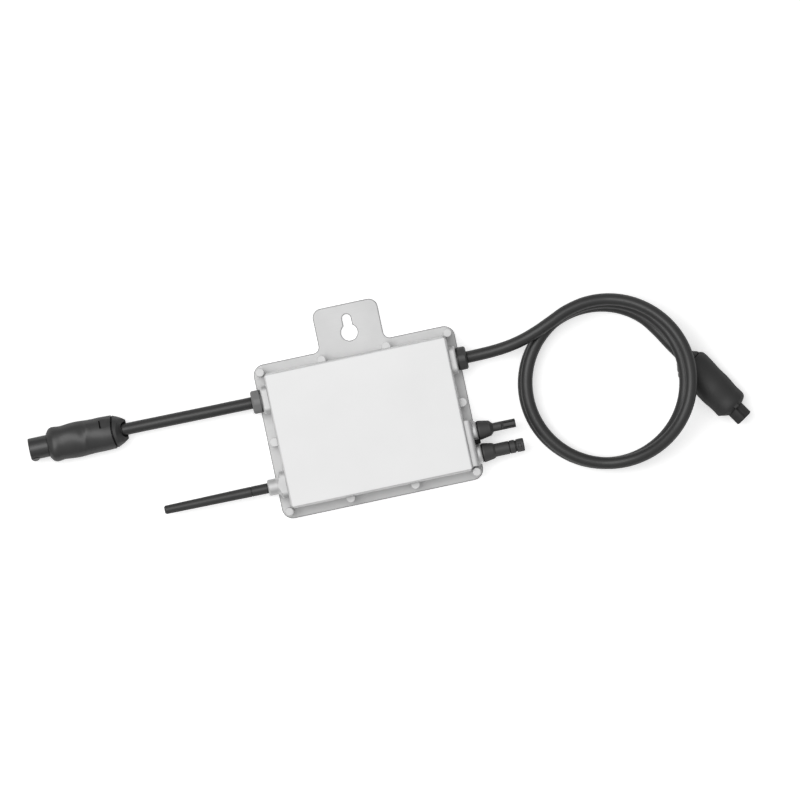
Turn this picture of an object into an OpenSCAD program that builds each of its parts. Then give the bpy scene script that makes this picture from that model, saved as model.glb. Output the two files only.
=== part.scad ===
// Solar microinverter: a die-cast casing on a back plate with a hanging tab, two trunk cables with
// their connectors, two fixed panel connectors and a stub antenna. All sizes are in millimetres.
// The back of the plate lies on z = 0. +X points to the panel connectors, +Y to the hanging tab
// and +Z out of the front face.

/* [Casing] */
// Width of the casting at its back rim
casing_w = 187; // [186:0.5:188]
// Height of the casting at its back rim
casing_h = 138; // [137:0.5:139]
// Height of the front face above the back of the plate
casing_top = 36; // [35.5:0.5:40]
// Wall thickness of the casting
wall = 3; // [2.6:0.1:3]
// How far each side wall leans in from the rim to the front
lean = 1; // [0.6:0.1:1.2]
// Rounding of the front face's edge
front_edge = 1.3; // [0.8:0.1:1.5]
// Radius of the corner posts and half width of the side lugs
post_r = 4.4; // [4.2:0.1:4.5]
// Height of the corner posts above the back of the plate
post_top = 30; // [26:0.5:33]
// Height of the side lugs above the back of the plate
lug_top = 25; // [22:0.5:28]

/* [Back plate] */
// Width of the plate
plate_w = 205.2; // [204:0.2:207]
// Height of the plate without its tab
plate_h = 157; // [156:0.5:159]
// Thickness of the plate
plate_t = 2.5; // [2.5:0.1:3]
// Radius of the plate's corners
plate_corner = 11; // [8:0.5:12]
// Width of the hanging tab
tab_w = 66; // [60:1:70]
// Distance from the casing's centre to the top of the tab
tab_top = 121; // [118:1:126]
// Radius of the tab's upper corners
tab_corner = 9; // [6:0.5:12]
// Radius of the big circle of the keyhole
keyhole_r = 8.3; // [7.5:0.1:9]
// Half width of the keyhole's slot
slot_r = 4.4; // [4:0.1:4.6]

/* [Cable glands] */
// Distance of both trunk cables above the casing's centre
gland_y = 43; // [42:0.5:44]
// Height of the cables, the panel connectors and the antenna above the back of the plate
axis_z = 18.5; // [18.5:0.1:19]
// Width of the bosses that hold the glands
gland_boss_w = 28; // [27:0.5:29]
// Radius of the gland's cap nut
gland_nut_r = 12; // [11.5:0.1:12.5]
// Outer end of the cap nut, from the casing's centre
gland_end = 109.5; // [108.5:0.5:111]
// Diameter of the trunk cable
cable_d = 12; // [11.6:0.1:12]

/* [Panel connectors] */
// Place of the thin connector along Y
thin_y = -30.8; // [-31.2:0.1:-30.4]
// Place of the thick connector along Y
thick_y = -53.6; // [-54:0.1:-53.2]
// Radius of the thin connector's nose
nose_r = 4.4; // [4.2:0.05:4.5]
// Radius of the thick connector's barrel
barrel_r = 6.6; // [6.4:0.1:6.8]
// Tip of the thin connector, from the casing's centre
thin_end = 143.4; // [140:0.2:146]
// Tip of the thick connector, from the casing's centre
thick_end = 147.4; // [144:0.2:150]

/* [Antenna] */
// Place of the antenna along Y
antenna_y = -43.5; // [-44:0.5:-43]
// Radius of the casting's nozzle
nozzle_r = 8.25; // [8:0.05:8.4]
// Width of the boss behind the nozzle
antenna_boss_w = 27; // [26:0.5:28]
// Radius of the antenna at its root
whip_root_r = 5.15; // [4.8:0.05:5.4]
// Radius of the antenna at its tip
whip_tip_r = 4.35; // [3.6:0.05:4.6]
// Tip of the antenna, from the casing's centre
whip_end = 217; // [190:1:230]

/* [Trunk connectors] */
// Height of the trunk connectors' axis above the ground
plug_z = 15.4; // [15.4:0.1:16.2]
// Roundness exponent of the grips' section, 2 is an ellipse
grip_power = 2.05; // [2:0.05:2.6]
// Bore of the socket
socket_bore_r = 9.4; // [9.2:0.1:9.6]
// Radius of the plug's nose
plug_nose_r = 9; // [8.8:0.1:9]
// Radius of the circle that the three contacts stand on
contact_ring_r = 4.6; // [4.4:0.1:5]

/* [Hidden] */
$fn = 48;
gap = 0.05;
casting_grey = "#c9cbcd";
plate_grey = "#d3d5d7";
black = "#333436";
cable_black = "#3c3d3f";
brass = "#c9a24a";
tin = "#b9bcc0";
board_green = "#2f6b47";

// Casing
rim_x = casing_w / 2;
rim_y = casing_h / 2;
cavity_x = rim_x - lean - wall;
cavity_y = rim_y - lean - wall;
cavity_top = casing_top - wall;
post_x = 95.5;
post_y = 70.8;
recess_r = 6;
web_top = 22;
lug_spots = [[33, 70.5], [-33, 70.5], [33, -70.5], [-33, -70.5]];
side_lug_x = 96;
screw_spots = concat(
    [for (sx = [-1, 1], sy = [-1, 1]) [sx * post_x, sy * post_y]],
    lug_spots,
    [[side_lug_x, 0], [-side_lug_x, 0]]
);
screw_hole_r = 2.05;
screw_r = 1.95;
screw_sink_r = 4;
screw_tip = 12;
screw_hole_top = 12.5;
keyhole_y = 91.9;
slot_y = 106.1;
tab_fillet = 6.5;
label_size = [182, 133, 0.25];
boss_root = 88;
boss_face = 99.3;
boss_corner = 6;
gland_boss_h = 25;
antenna_boss_h = 17;
dc_block = [-66, -18.5];
dc_block_face = 100;
dc_block_top = 33;
collar_r = 10.6;
collar_face = 104.5;
panel_bore_r = 6.5;
vent_y = -41.7;
vent_up = 9.5;
vent_bore_r = 1.6;
nozzle_face = 111.5;
inside_x = 84;
gland_bore_r = 8;
gland_flange_r = 11.2;
gland_flange_t = 1.7;
gland_thread_r = 9.6;
gland_seal_from = gland_end - 7.5;
gland_seal_to = gland_end - 2.5;

// Board and what stands on it
board_z = 8;
board_t = 1.6;
board_top = board_z + board_t;
board_half = [85, 62];
standoffs = [[70, 57], [-70, 57], [70, -57], [-70, -57], [0, 57], [0, -57]];
standoff_r = 3.5;
block_size = [12, 18, 15];
core_pitch = 4.6;
capacitor_ys = [6, -12, -30, -48];
transistor_xs = [-2, 11, 24, 37, 50];

// Trunk cables
cable_r = cable_d / 2;
socket_place = [-237, 43.6, plug_z];
plug_place = [321, -1.7, plug_z];
plug_turn = -57;
plug_axis = [cos(plug_turn), sin(plug_turn), 0];
cable_sides = 10;
left_route = [
    [-84, 43, 18.5], [-96, 43, 18.5], [-109, 43, 18.5], [-121, 43, 18.4], [-134, 43.1, 18.1],
    [-148, 43.1, 17.7], [-162, 43.2, 17.2], [-177, 43.3, 16.7], [-192, 43.4, 16.2],
    [-207, 43.5, 15.7], [-222, 43.6, 15.4], [-240, 43.6, 15.4], [-259, 43.6, 15.4]
];
lead_route = [
    [84, 43, 18.5], [109, 43, 18.5], [125, 43.2, 18.9], [140, 43.9, 20.4],
    [155, 45.7, 23], [170, 49.2, 26.8], [185, 54.4, 29.6], [200, 60.8, 30.5]
];
exit_route = [
    plug_place - 18 * plug_axis - [0, 0, 2.8], plug_place - 5 * plug_axis - [0, 0, 0.4],
    plug_place + 4.4 * plug_axis, plug_place + 19.9 * plug_axis
];
loop_centre = [241.3, -9.6];
loop_start = 108;
loop_sweep = 795;
loop_step = 15;
loop_radii = [
    [0, 81.2], [60, 82.5], [120, 83.2], [210, 81.5], [300, 80.2], [390, 78.9],
    [480, 77.5], [570, 81.6], [660, 82.8], [750, 75.5], [795, 71.8]
];
loop_heights = [
    [0, 30.7], [25, 30.9], [95, 48.6], [135, 48.6], [218, 18.3], [300, 18.3], [392, 18.4],
    [462, 37.2], [485, 37.2], [563, 6], [660, 6], [745, 6], [795, 8.6]
];

// Sections of the grips and their nuts: distance from the rear, half width, half height, and how far
// the crest of the upper face stands to one side
socket_nut_rings = [
    [0, 9.6, 9.4, 0], [3, 11.8, 11, 0.5], [6, 13.6, 12.4, 1], [9, 15, 13.6, 1.8], [12.8, 16.3, 14.7, 1.6]
];
socket_grip_rings = [
    [14.6, 16.8, 14.9, 1.3], [25, 17.2, 15.2, 0.6], [34, 17.1, 14.9, -0.8], [39.5, 17.3, 15, -2],
    [43.5, 17.6, 15.2, 1.7], [50, 17.9, 15.3, -0.6], [57, 17.6, 15, -2], [66, 16.8, 14.5, -1.4],
    [74, 17.5, 15.1, 2], [77.5, 15.9, 13.9, 3], [80.3, 12.2, 12, 0]
];
plug_nut_rings = [[0, 9.4, 9.2, 0], [3, 11.6, 10.8, 0], [5, 13.4, 12.2, 0], [7.6, 14.7, 13.2, 0]];
plug_grip_rings = [
    [8.4, 15.3, 13.8, 0], [11.6, 17.6, 15.1, 0], [20, 18, 15.3, 0], [34, 17.4, 14.5, 0], [45, 17.6, 15.2, 0],
    [58, 16.7, 14.4, 0], [67, 16.8, 14.8, 0], [70.5, 15, 13.4, 0], [73, 10.4, 10.4, 0]
];
socket_seal_rear = 9;
socket_seal_tail = 5.2;
plug_seal_rear = 4.65;
seal_bore_r = cable_r + gap;
seal_out_r = 8.6;
spigot_r = 10.6;
spigot_long = 3;
nut_mouth_r = 7.9;
nut_bore_r = 7.5;
nut_cut_from = 0.6;
neck_deep = 2.2;

// Small helpers

function unit(v) = v / norm(v);

// Smooth curve through rows of [distance, value, ...]: the value in one column at distance x
function row_before(rows, x, i = 0) =
    i >= len(rows) - 2 || x < rows[i + 1][0] ? i : row_before(rows, x, i + 1);
function slope_at(rows, i, column) =
    let (a = rows[max(i - 1, 0)], b = rows[min(i + 1, len(rows) - 1)])
    (b[column] - a[column]) / (b[0] - a[0]);
function curve_at(rows, x, column) =
    let (
        i = row_before(rows, x),
        span = rows[i + 1][0] - rows[i][0],
        t = (x - rows[i][0]) / span,
        from = rows[i][column],
        to = rows[i + 1][column]
    )
    from + (to - from) * t * t * (3 - 2 * t)
    + span * t * (1 - t) * (slope_at(rows, i, column) * (1 - t) - slope_at(rows, i + 1, column) * t);

// Level at each row and eased between rows, so that a hump has a flat top
function eased_at(rows, x) =
    let (i = row_before(rows, x), t = (x - rows[i][0]) / (rows[i + 1][0] - rows[i][0]))
    rows[i][1] + (rows[i + 1][1] - rows[i][1]) * (1 - cos(180 * t)) / 2;

// Rings of points joined into one closed skin
function ring_faces(rings, sides) = concat(
    [[for (k = [sides - 1:-1:0]) k]],
    [[for (k = [0:sides - 1]) (rings - 1) * sides + k]],
    [for (i = [0:rings - 2], k = [0:sides - 1]) let (m = (k + 1) % sides)
        [i * sides + k, i * sides + m, (i + 1) * sides + m]],
    [for (i = [0:rings - 2], k = [0:sides - 1]) let (m = (k + 1) % sides)
        [i * sides + k, (i + 1) * sides + m, (i + 1) * sides + k]]
);

module swept_tube(path, r, sides) {
    last = len(path) - 1;
    points = [
        for (i = [0:last])
        let (
            along = unit(path[min(i + 1, last)] - path[max(i - 1, 0)]),
            side = unit(cross(along, [0, 0, 1])),
            up = cross(side, along)
        )
        for (k = [0:sides - 1]) path[i] + r * (cos(360 * k / sides) * side + sin(360 * k / sides) * up)
    ];
    polyhedron(points, ring_faces(last + 1, sides));
}

module at_corners(x, y) {
    for (sx = [-1, 1], sy = [-1, 1]) translate([sx * x, sy * y, 0]) children();
}

module rounded_rect(w, h, r) {
    square([w - 2 * r, h], center = true);
    square([w, h - 2 * r], center = true);
    at_corners(w / 2 - r, h / 2 - r) circle(r);
}

module box_on(x, y, z, size, r = 1) {
    translate([x, y, z]) linear_extrude(size[2]) rounded_rect(size[0], size[1], r);
}

// Disc with its upper rim rounded
module edged_disc(r, h, edge) {
    rotate_extrude() {
        square([r - edge, h]);
        square([r, h - edge]);
        translate([r - edge, h - edge]) circle(edge);
    }
}

// Cross-section of a slab with both upper corners rounded
module edged_profile(half, h, edge) {
    translate([-half, 0]) square([2 * half, h - edge]);
    translate([edge - half, 0]) square([2 * (half - edge), h]);
    for (side = [-1, 1]) translate([side * (half - edge), h - edge]) circle(edge);
}

// Slab with rounded corners and its upper rim rounded
module edged_slab(x, y, r, h, edge) {
    rotate([90, 0, 0]) linear_extrude(y - 2 * r, center = true) edged_profile(x / 2, h, edge);
    rotate([90, 0, 90]) linear_extrude(x - 2 * r, center = true) edged_profile(y / 2, h, edge);
    at_corners(x / 2 - r, y / 2 - r) edged_disc(r, h, edge);
}

module ring(r_out, r_in, h) {
    difference() {
        cylinder(r = r_out, h = h);
        translate([0, 0, -1]) cylinder(r = r_in, h = h + 2);
    }
}

// Straight round rod from one point to another
module rod(from, to, r) {
    run = to - from;
    turn = atan2(run[1], run[0]);
    tilt = acos(run[2] / norm(run));
    translate(from) rotate([0, tilt, turn]) cylinder(r = r, h = norm(run));
}

// Children with their own z axis pointing out of the left (-1) or right (1) wall at height y
module out_of_wall(side, y) {
    mirror([side < 0 ? 1 : 0, 0, 0]) translate([0, y, axis_z]) rotate([0, 90, 0]) children();
}

// Children moved along their own z axis
module lifted(z) {
    translate([0, 0, z]) children();
}

// Back plate with its hanging tab

module tab_outline() {
    reach = tab_top - tab_corner;
    half = tab_w / 2;
    translate([-half, 0]) square([tab_w, reach]);
    translate([tab_corner - half, 0]) square([tab_w - 2 * tab_corner, tab_top]);
    for (side = [-1, 1]) translate([side * (half - tab_corner), reach]) circle(tab_corner);
    for (side = [-1, 1]) {
        difference() {
            translate([side * (half + tab_fillet / 2), (plate_h + tab_fillet) / 2 - 1])
                square([tab_fillet, tab_fillet + 2], center = true);
            translate([side * (half + tab_fillet), plate_h / 2 + tab_fillet]) circle(tab_fillet);
        }
    }
}

module back_cover() {
    color(plate_grey) difference() {
        linear_extrude(plate_t) {
            rounded_rect(plate_w, plate_h, plate_corner);
            tab_outline();
        }
        translate([0, keyhole_y, -1]) cylinder(r = keyhole_r, h = plate_t + 2);
        translate([0, slot_y, -1]) cylinder(r = slot_r, h = plate_t + 2);
        translate([-slot_r, keyhole_y, -1]) cube([2 * slot_r, slot_y - keyhole_y, plate_t + 2]);
        for (spot = screw_spots) translate([spot[0], spot[1], 0]) {
            translate([0, 0, -1]) cylinder(r = screw_hole_r + 0.1, h = plate_t + 2);
            cylinder(r1 = screw_sink_r, r2 = screw_hole_r + 0.1, h = screw_sink_r - screw_hole_r - 0.1);
        }
    }
}

module cover_screws() {
    color(tin) for (spot = screw_spots) translate([spot[0], spot[1], 0]) difference() {
        union() {
            translate([0, 0, 0.1])
                cylinder(r1 = screw_sink_r - 0.1, r2 = screw_r, h = screw_sink_r - 0.1 - screw_r);
            translate([0, 0, 1]) cylinder(r = screw_r, h = screw_tip - 1);
        }
        cylinder(r = 1.45, h = 1.3, $fn = 6);
    }
}

module gasket_outline() {
    difference() {
        square([casing_w - 2, casing_h - 2], center = true);
        at_corners(post_x, post_y) circle(recess_r - 0.5);
        difference() {
            square([casing_w - 6, casing_h - 6], center = true);
            at_corners(post_x, post_y) circle(recess_r + 1.5);
        }
    }
}

module cover_gasket() {
    color("#46484a") translate([0, 0, plate_t]) linear_extrude(1.5) gasket_outline();
}

// Die-cast casing: an open tray with its mouth on the back plate

// Cross-section of the block: sides that lean in, and a rounded front edge
module leaning_profile(half) {
    straight_top = casing_top - front_edge;
    flat = half - lean - front_edge;
    polygon([[-half, plate_t], [half, plate_t], [half - lean, straight_top], [lean - half, straight_top]]);
    translate([-flat, straight_top - 1]) square([2 * flat, front_edge + 1]);
    for (side = [-1, 1]) translate([side * flat, straight_top]) circle(front_edge);
}

module casing_block() {
    intersection() {
        translate([0, casing_h, 0]) rotate([90, 0, 0])
            linear_extrude(2 * casing_h) leaning_profile(rim_x);
        translate([-casing_w, 0, 0]) rotate([90, 0, 90])
            linear_extrude(2 * casing_w) leaning_profile(rim_y);
    }
}

module cavity_outline() {
    difference() {
        rounded_rect(2 * cavity_x, 2 * cavity_y, 3);
        at_corners(post_x, post_y) circle(recess_r + wall);
    }
}

module lugs() {
    height = lug_top - plate_t;
    for (spot = lug_spots) {
        inward = spot[1] > 0 ? -1 : 1;
        translate([spot[0], spot[1], plate_t]) linear_extrude(height) {
            circle(post_r);
            translate([0, inward * 2]) square([2 * post_r, 4], center = true);
        }
    }
    for (side = [-1, 1]) translate([side * side_lug_x, 0, plate_t]) linear_extrude(height) {
        circle(post_r);
        translate([-side * 2, 0]) square([4, 2 * post_r], center = true);
    }
}

// Bosses stand on the wall with their face at boss_face: x is their height, y their width
module boss(height, width) {
    lifted(boss_root) edged_slab(height, width, boss_corner, boss_face - boss_root, 2);
}

// Round nozzle on the antenna's boss, with fillets that end at the boss's upper and lower faces
module nozzle() {
    fillet = 3.5;
    root = boss_face - boss_root;
    end = nozzle_face - boss_root;
    edge = 2;
    lifted(boss_root) intersection() {
        rotate_extrude() {
            square([nozzle_r, end - edge]);
            square([nozzle_r - edge, end]);
            translate([nozzle_r - edge, end - edge]) circle(edge);
            difference() {
                square([nozzle_r + fillet, root + fillet]);
                translate([nozzle_r + fillet, root + fillet]) circle(fillet);
            }
        }
        translate([-antenna_boss_h / 2, -antenna_boss_w / 2, 0])
            cube([antenna_boss_h, antenna_boss_w, end + 1]);
    }
}

module dc_block_profile() {
    soft = 4;
    translate([cavity_x + 1, plate_t]) {
        square([dc_block_face - cavity_x - 1, dc_block_top - plate_t - soft]);
        square([dc_block_face - cavity_x - 1 - soft, dc_block_top - plate_t]);
        translate([dc_block_face - cavity_x - 1 - soft, dc_block_top - plate_t - soft]) circle(soft);
    }
}

module housing() {
    inner = inside_x - 2;
    color(casting_grey) difference() {
        union() {
            difference() {
                union() {
                    casing_block();
                    translate([0, dc_block[1], 0]) rotate([90, 0, 0])
                        linear_extrude(dc_block[1] - dc_block[0]) dc_block_profile();
                }
                at_corners(post_x, post_y)
                    translate([0, 0, web_top]) cylinder(r = recess_r, h = casing_top);
            }
            at_corners(post_x, post_y)
                translate([0, 0, plate_t]) edged_disc(post_r, post_top - plate_t, 0.8);
            lugs();
            for (side = [-1, 1]) out_of_wall(side, gland_y) boss(gland_boss_h, gland_boss_w);
            out_of_wall(-1, antenna_y) {
                boss(antenna_boss_h, antenna_boss_w);
                nozzle();
            }
            for (y = [thin_y, thick_y]) out_of_wall(1, y)
                lifted(96) edged_disc(collar_r, collar_face - 96, 2.5);
        }
        translate([0, 0, plate_t - 1]) linear_extrude(cavity_top - plate_t + 1) cavity_outline();
        translate([0, 0, plate_t - 1]) linear_extrude(2.5) gasket_outline();
        for (spot = screw_spots) translate([spot[0], spot[1], plate_t - 1])
            cylinder(r = screw_hole_r, h = screw_hole_top - plate_t + 1);
        for (side = [-1, 1]) out_of_wall(side, gland_y) lifted(inner) cylinder(r = gland_bore_r, h = 30);
        out_of_wall(-1, antenna_y) lifted(inner) cylinder(r = 4, h = 40);
        out_of_wall(-1, antenna_y) lifted(nozzle_face - 1.5) cylinder(r = 5.6, h = 3);
        for (y = [thin_y, thick_y]) out_of_wall(1, y) lifted(inner) cylinder(r = panel_bore_r, h = 40);
        out_of_wall(1, vent_y) translate([-vent_up, 0, inner]) cylinder(r = vent_bore_r, h = 40);
    }
    color(casting_grey) for (spot = standoffs) translate([spot[0], spot[1], board_top]) difference() {
        cylinder(r = standoff_r, h = cavity_top - board_top + 1);
        translate([0, 0, -1]) cylinder(r = 1.35, h = 11);
    }
}

module front_label() {
    color("#e9e9e9") translate([-label_size[0] / 2, -label_size[1] / 2, casing_top]) cube(label_size);
}

// Cable glands

module gland_body() {
    difference() {
        union() {
            lifted(inside_x) cylinder(r = gland_bore_r - gap, h = boss_face - inside_x);
            lifted(boss_face) cylinder(r = gland_flange_r, h = gland_flange_t);
            lifted(boss_face + 1) cylinder(r = gland_thread_r, h = gland_seal_to - boss_face - 1.5);
        }
        lifted(inside_x - 1) cylinder(r = cable_r + 0.3, h = 30);
        lifted(gland_seal_from) cylinder(r = gland_bore_r, h = 10);
    }
}

module gland_seal() {
    lifted(gland_seal_from) ring(gland_bore_r - gap, seal_bore_r, gland_seal_to - gland_seal_from);
}

module gland_nut() {
    from = boss_face + gland_flange_t;
    bevel = 1.8;
    hexagon_r = gland_nut_r * 1.11;
    difference() {
        intersection() {
            union() {
                lifted(from) cylinder(r = gland_nut_r, h = gland_end - from - bevel);
                lifted(gland_end - bevel) cylinder(r1 = gland_nut_r, r2 = gland_nut_r - bevel, h = bevel);
            }
            lifted(from - 1) cylinder(r = hexagon_r, h = 20, $fn = 6);
        }
        lifted(from - 1) cylinder(r = gland_thread_r + gap, h = gland_seal_to - from + 1);
        lifted(from) cylinder(r = cable_r + 0.4, h = 20);
    }
}

module gland_body_left() { color(black) out_of_wall(-1, gland_y) gland_body(); }
module gland_body_right() { color(black) out_of_wall(1, gland_y) gland_body(); }
module gland_seal_left() { color("#222324") out_of_wall(-1, gland_y) gland_seal(); }
module gland_seal_right() { color("#222324") out_of_wall(1, gland_y) gland_seal(); }
module gland_nut_left() { color("#7b7c7d") out_of_wall(-1, gland_y) gland_nut(); }
module gland_nut_right() { color(black) out_of_wall(1, gland_y) gland_nut(); }

// Trunk cables

function loop_point(swept) =
    let (r = curve_at(loop_radii, swept, 1), angle = loop_start - swept)
    [loop_centre[0] + r * cos(angle), loop_centre[1] + r * sin(angle), eased_at(loop_heights, swept)];
loop_route = [for (swept = [0:loop_step:loop_sweep]) loop_point(swept)];

module trunk_cable_left() {
    color(cable_black) swept_tube(left_route, cable_r, cable_sides);
}

module trunk_cable_right() {
    color(cable_black) swept_tube(concat(lead_route, loop_route, exit_route), cable_r, cable_sides);
}

// Trunk connectors: local x runs from the cable's side to the tip

function signed_power(v, p) = sign(v) * pow(abs(v), p);

// Skin through rings: a rounded oval whose upper half leans by the crest's shift
module grip_skin(rows, spacing, sides) {
    from = rows[0][0];
    to = rows[len(rows) - 1][0];
    steps = ceil((to - from) / spacing);
    points = [
        for (i = [0:steps])
        let (
            x = from + (to - from) * i / steps,
            w = curve_at(rows, x, 1),
            h = curve_at(rows, x, 2),
            shift = curve_at(rows, x, 3)
        )
        for (k = [0:sides - 1])
        let (
            a = 360 * k / sides,
            across = signed_power(cos(a), 2 / grip_power),
            rise = signed_power(sin(a), 2 / grip_power)
        )
        [x, shift * pow(max(0, rise), 2) - w * across, h * rise]
    ];
    polyhedron(points, ring_faces(steps + 1, sides));
}

module axial(from, to, r) {
    translate([from, 0, 0]) rotate([0, 90, 0]) cylinder(r = r, h = to - from);
}

// Nut with a wide mouth for the cable, cut at a slant on top
module connector_nut(rows, mouth_deep, seal_from, slant) {
    to = rows[len(rows) - 1][0];
    difference() {
        grip_skin(rows, 1.6, 32);
        axial(-1, to + 1, nut_bore_r);
        axial(-1, mouth_deep, nut_mouth_r);
        axial(seal_from, to + 1, seal_out_r + gap);
        axial(to - spigot_long, to + 1, spigot_r + gap);
        translate([nut_cut_from, 0, 0]) rotate([0, -slant, 0]) translate([-30, -20, 0]) cube([60, 40, 30]);
    }
}

// Grip with a neck that closes the seam up to the nut's front, and a spigot that the nut takes
module connector_grip(rows, nut_front, rear_end, bore_r) {
    from = rows[0][0];
    neck = [rows[0][1] - neck_deep, rows[0][2] - neck_deep, rows[0][3]];
    difference() {
        union() {
            grip_skin(rows, 2.4, 32);
            grip_skin([concat(nut_front + gap, neck), concat(from + 1, neck)], 2.4, 32);
            axial(from - spigot_long, from + 1, spigot_r);
        }
        axial(from - 6, rear_end + 1, seal_out_r + gap);
        axial(rear_end, rows[len(rows) - 1][0] + 1, bore_r);
    }
}

// Seal with a slimmer tail that stands out of the nut's mouth
module connector_seal(tail, from, to) {
    difference() {
        union() {
            axial(from, to, seal_out_r);
            axial(tail, from + 1, nut_bore_r - gap);
        }
        axial(tail - 1, to + 1, seal_bore_r);
    }
}

module contact_places() {
    for (k = [0:2]) rotate([90 + 120 * k, 0, 0]) translate([0, contact_ring_r, 0]) children();
}

socket_tip = 99.5;
socket_floor = 83.5;
socket_rear = 22;
socket_nose_r = 11;
socket_lug = [95, 8.2];
socket_lug_r = 4.5;
latch_edge = [-5.6, 14.1];
latch_tilt = 34;
latch_end = 26.2;
plug_shoulder = 73;
plug_tip = 86.5;
plug_rear = 20;
pin_r = 1.2;
sleeve_r = 1.8;

module socket_frame() { translate(socket_place) rotate([0, 0, 180]) children(); }
module plug_frame() { translate(plug_place) rotate([0, 0, plug_turn]) children(); }

// The latch is a flat beside the seam with a slit at its end
module socket_grip() {
    color(black) socket_frame() difference() {
        connector_grip(socket_grip_rings, socket_nut_rings[4][0], socket_rear, socket_nose_r + gap);
        translate([13, latch_edge[0], latch_edge[1]]) rotate([latch_tilt, 0, 0]) translate([0, -14, 0])
            cube([latch_end - 13, 14, 5]);
        translate([latch_end - 0.1, -13.5, 10]) cube([1.4, 7.5, 8]);
    }
}

module socket_nut() { color(black) socket_frame() connector_nut(socket_nut_rings, 7, socket_seal_rear, 53); }
module socket_seal() {
    color("#222324") socket_frame() connector_seal(socket_seal_tail, socket_seal_rear, socket_rear);
}

module socket_insert() {
    color("#3f4042") socket_frame() difference() {
        union() {
            translate([socket_rear, 0, 0]) rotate([0, 90, 0])
                edged_disc(socket_nose_r, socket_tip - socket_rear, 1.2);
            translate([socket_lug[0], socket_lug[1], -5]) cylinder(r = socket_lug_r, h = 10);
        }
        axial(socket_floor, socket_tip + 1, socket_bore_r);
        contact_places() axial(socket_rear - 1, socket_floor + 1, pin_r + gap);
    }
}

module socket_pins() {
    color(brass) socket_frame() contact_places() {
        axial(socket_rear + 1, 92, pin_r);
        translate([92, 0, 0]) rotate([0, 90, 0]) cylinder(r1 = pin_r, r2 = 0.6, h = 1);
    }
}

module plug_grip() {
    color(black) plug_frame() {
        connector_grip(plug_grip_rings, plug_nut_rings[3][0], plug_rear, plug_nose_r - 0.4);
        translate([plug_shoulder - 4.5, 0, 9]) cube([4.5, 5, 4.6]);
    }
}

module plug_nut() { color(black) plug_frame() connector_nut(plug_nut_rings, 2.6, plug_seal_rear, 70); }
module plug_seal() {
    color("#222324") plug_frame() connector_seal(plug_seal_rear, plug_seal_rear, plug_rear);
}

module plug_insert() {
    color("#2e2f31") plug_frame() difference() {
        union() {
            axial(plug_rear, plug_shoulder, plug_nose_r - 0.4 - gap);
            axial(plug_shoulder, plug_tip - 1, plug_nose_r);
            translate([plug_tip - 1, 0, 0]) rotate([0, 90, 0])
                cylinder(r1 = plug_nose_r, r2 = plug_nose_r - 1, h = 1);
        }
        translate([plug_shoulder + 0.5, 0.3, plug_nose_r - 2]) cube([20, 1.6, 5]);
        contact_places() axial(plug_rear - 1, plug_tip + 1, sleeve_r + gap);
    }
}

module plug_contacts() {
    color(brass) plug_frame() contact_places() difference() {
        axial(plug_rear + 1, plug_tip - 1.5, sleeve_r);
        axial(plug_shoulder, plug_tip, pin_r);
    }
}

// Panel connectors: local z runs out of the wall, measured from the casing's centre

panel_flange = collar_face + 1;
contact_r = 2;

module panel_stem() {
    lifted(inside_x) cylinder(r = panel_bore_r - gap, h = panel_flange - inside_x);
}

module thin_connector() {
    root_r = 9.7;
    waist_r = 7.7;
    waist = panel_flange + 12;
    neck = waist + 3;
    color(black) out_of_wall(1, thin_y) difference() {
        union() {
            panel_stem();
            lifted(panel_flange) cylinder(r = root_r, h = 1.5);
            lifted(panel_flange + 1.5) cylinder(r1 = root_r, r2 = waist_r, h = waist - panel_flange - 1.5);
            lifted(waist) cylinder(r1 = waist_r, r2 = nose_r + 0.1, h = neck - waist);
            lifted(neck) edged_disc(nose_r, thin_end - neck, 0.8);
        }
        lifted(inside_x - 1) cylinder(r = contact_r + gap, h = 70);
        lifted(123) cylinder(r = 2.6, h = 30);
        difference() {
            translate([-nose_r - 1, -2.7, 128.8]) cube([2.4, 5.4, 13.4]);
            translate([-nose_r - 1, -1.8, 131]) cube([3, 3.6, 12]);
        }
    }
}

module thick_connector() {
    root_r = 9.6;
    waist_r = 8;
    waist = panel_flange + 10.5;
    neck = waist + 2;
    color(black) out_of_wall(1, thick_y) difference() {
        union() {
            panel_stem();
            lifted(panel_flange) cylinder(r = root_r, h = 1.5);
            lifted(panel_flange + 1.5) cylinder(r1 = root_r, r2 = waist_r, h = waist - panel_flange - 1.5);
            lifted(waist) cylinder(r1 = waist_r, r2 = barrel_r + 0.1, h = neck - waist);
            lifted(neck) edged_disc(barrel_r, thick_end - neck, 1.3);
        }
        lifted(inside_x - 1) cylinder(r = contact_r + gap, h = 60);
        lifted(120) cylinder(r = 5, h = 40);
        lifted(132.1) ring(barrel_r + 1, barrel_r - 0.6, 0.9);
        lifted(138.2) ring(barrel_r + 1, barrel_r - 0.9, 1.7);
        translate([-barrel_r - 1, -2, 141.2]) cube([1.8, 4, 3.4]);
    }
}

module panel_nut() {
    lifted(86) difference() {
        cylinder(r = 9.5, h = cavity_x - 86, $fn = 6);
        translate([0, 0, -1]) cylinder(r = panel_bore_r - gap + 0.02, h = 10);
    }
}

module panel_seal() { lifted(collar_face) ring(9, panel_bore_r, 1); }

module thin_connector_nut() { color(black) out_of_wall(1, thin_y) panel_nut(); }
module thick_connector_nut() { color(black) out_of_wall(1, thick_y) panel_nut(); }
module thin_connector_seal() { color("#222324") out_of_wall(1, thin_y) panel_seal(); }
module thick_connector_seal() { color("#222324") out_of_wall(1, thick_y) panel_seal(); }

module thin_contact() {
    color(tin) out_of_wall(1, thin_y) difference() {
        union() {
            lifted(78) cylinder(r = contact_r, h = 46);
            lifted(123) cylinder(r = 2.5, h = 17);
        }
        lifted(124) cylinder(r = 2, h = 20);
    }
}

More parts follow.
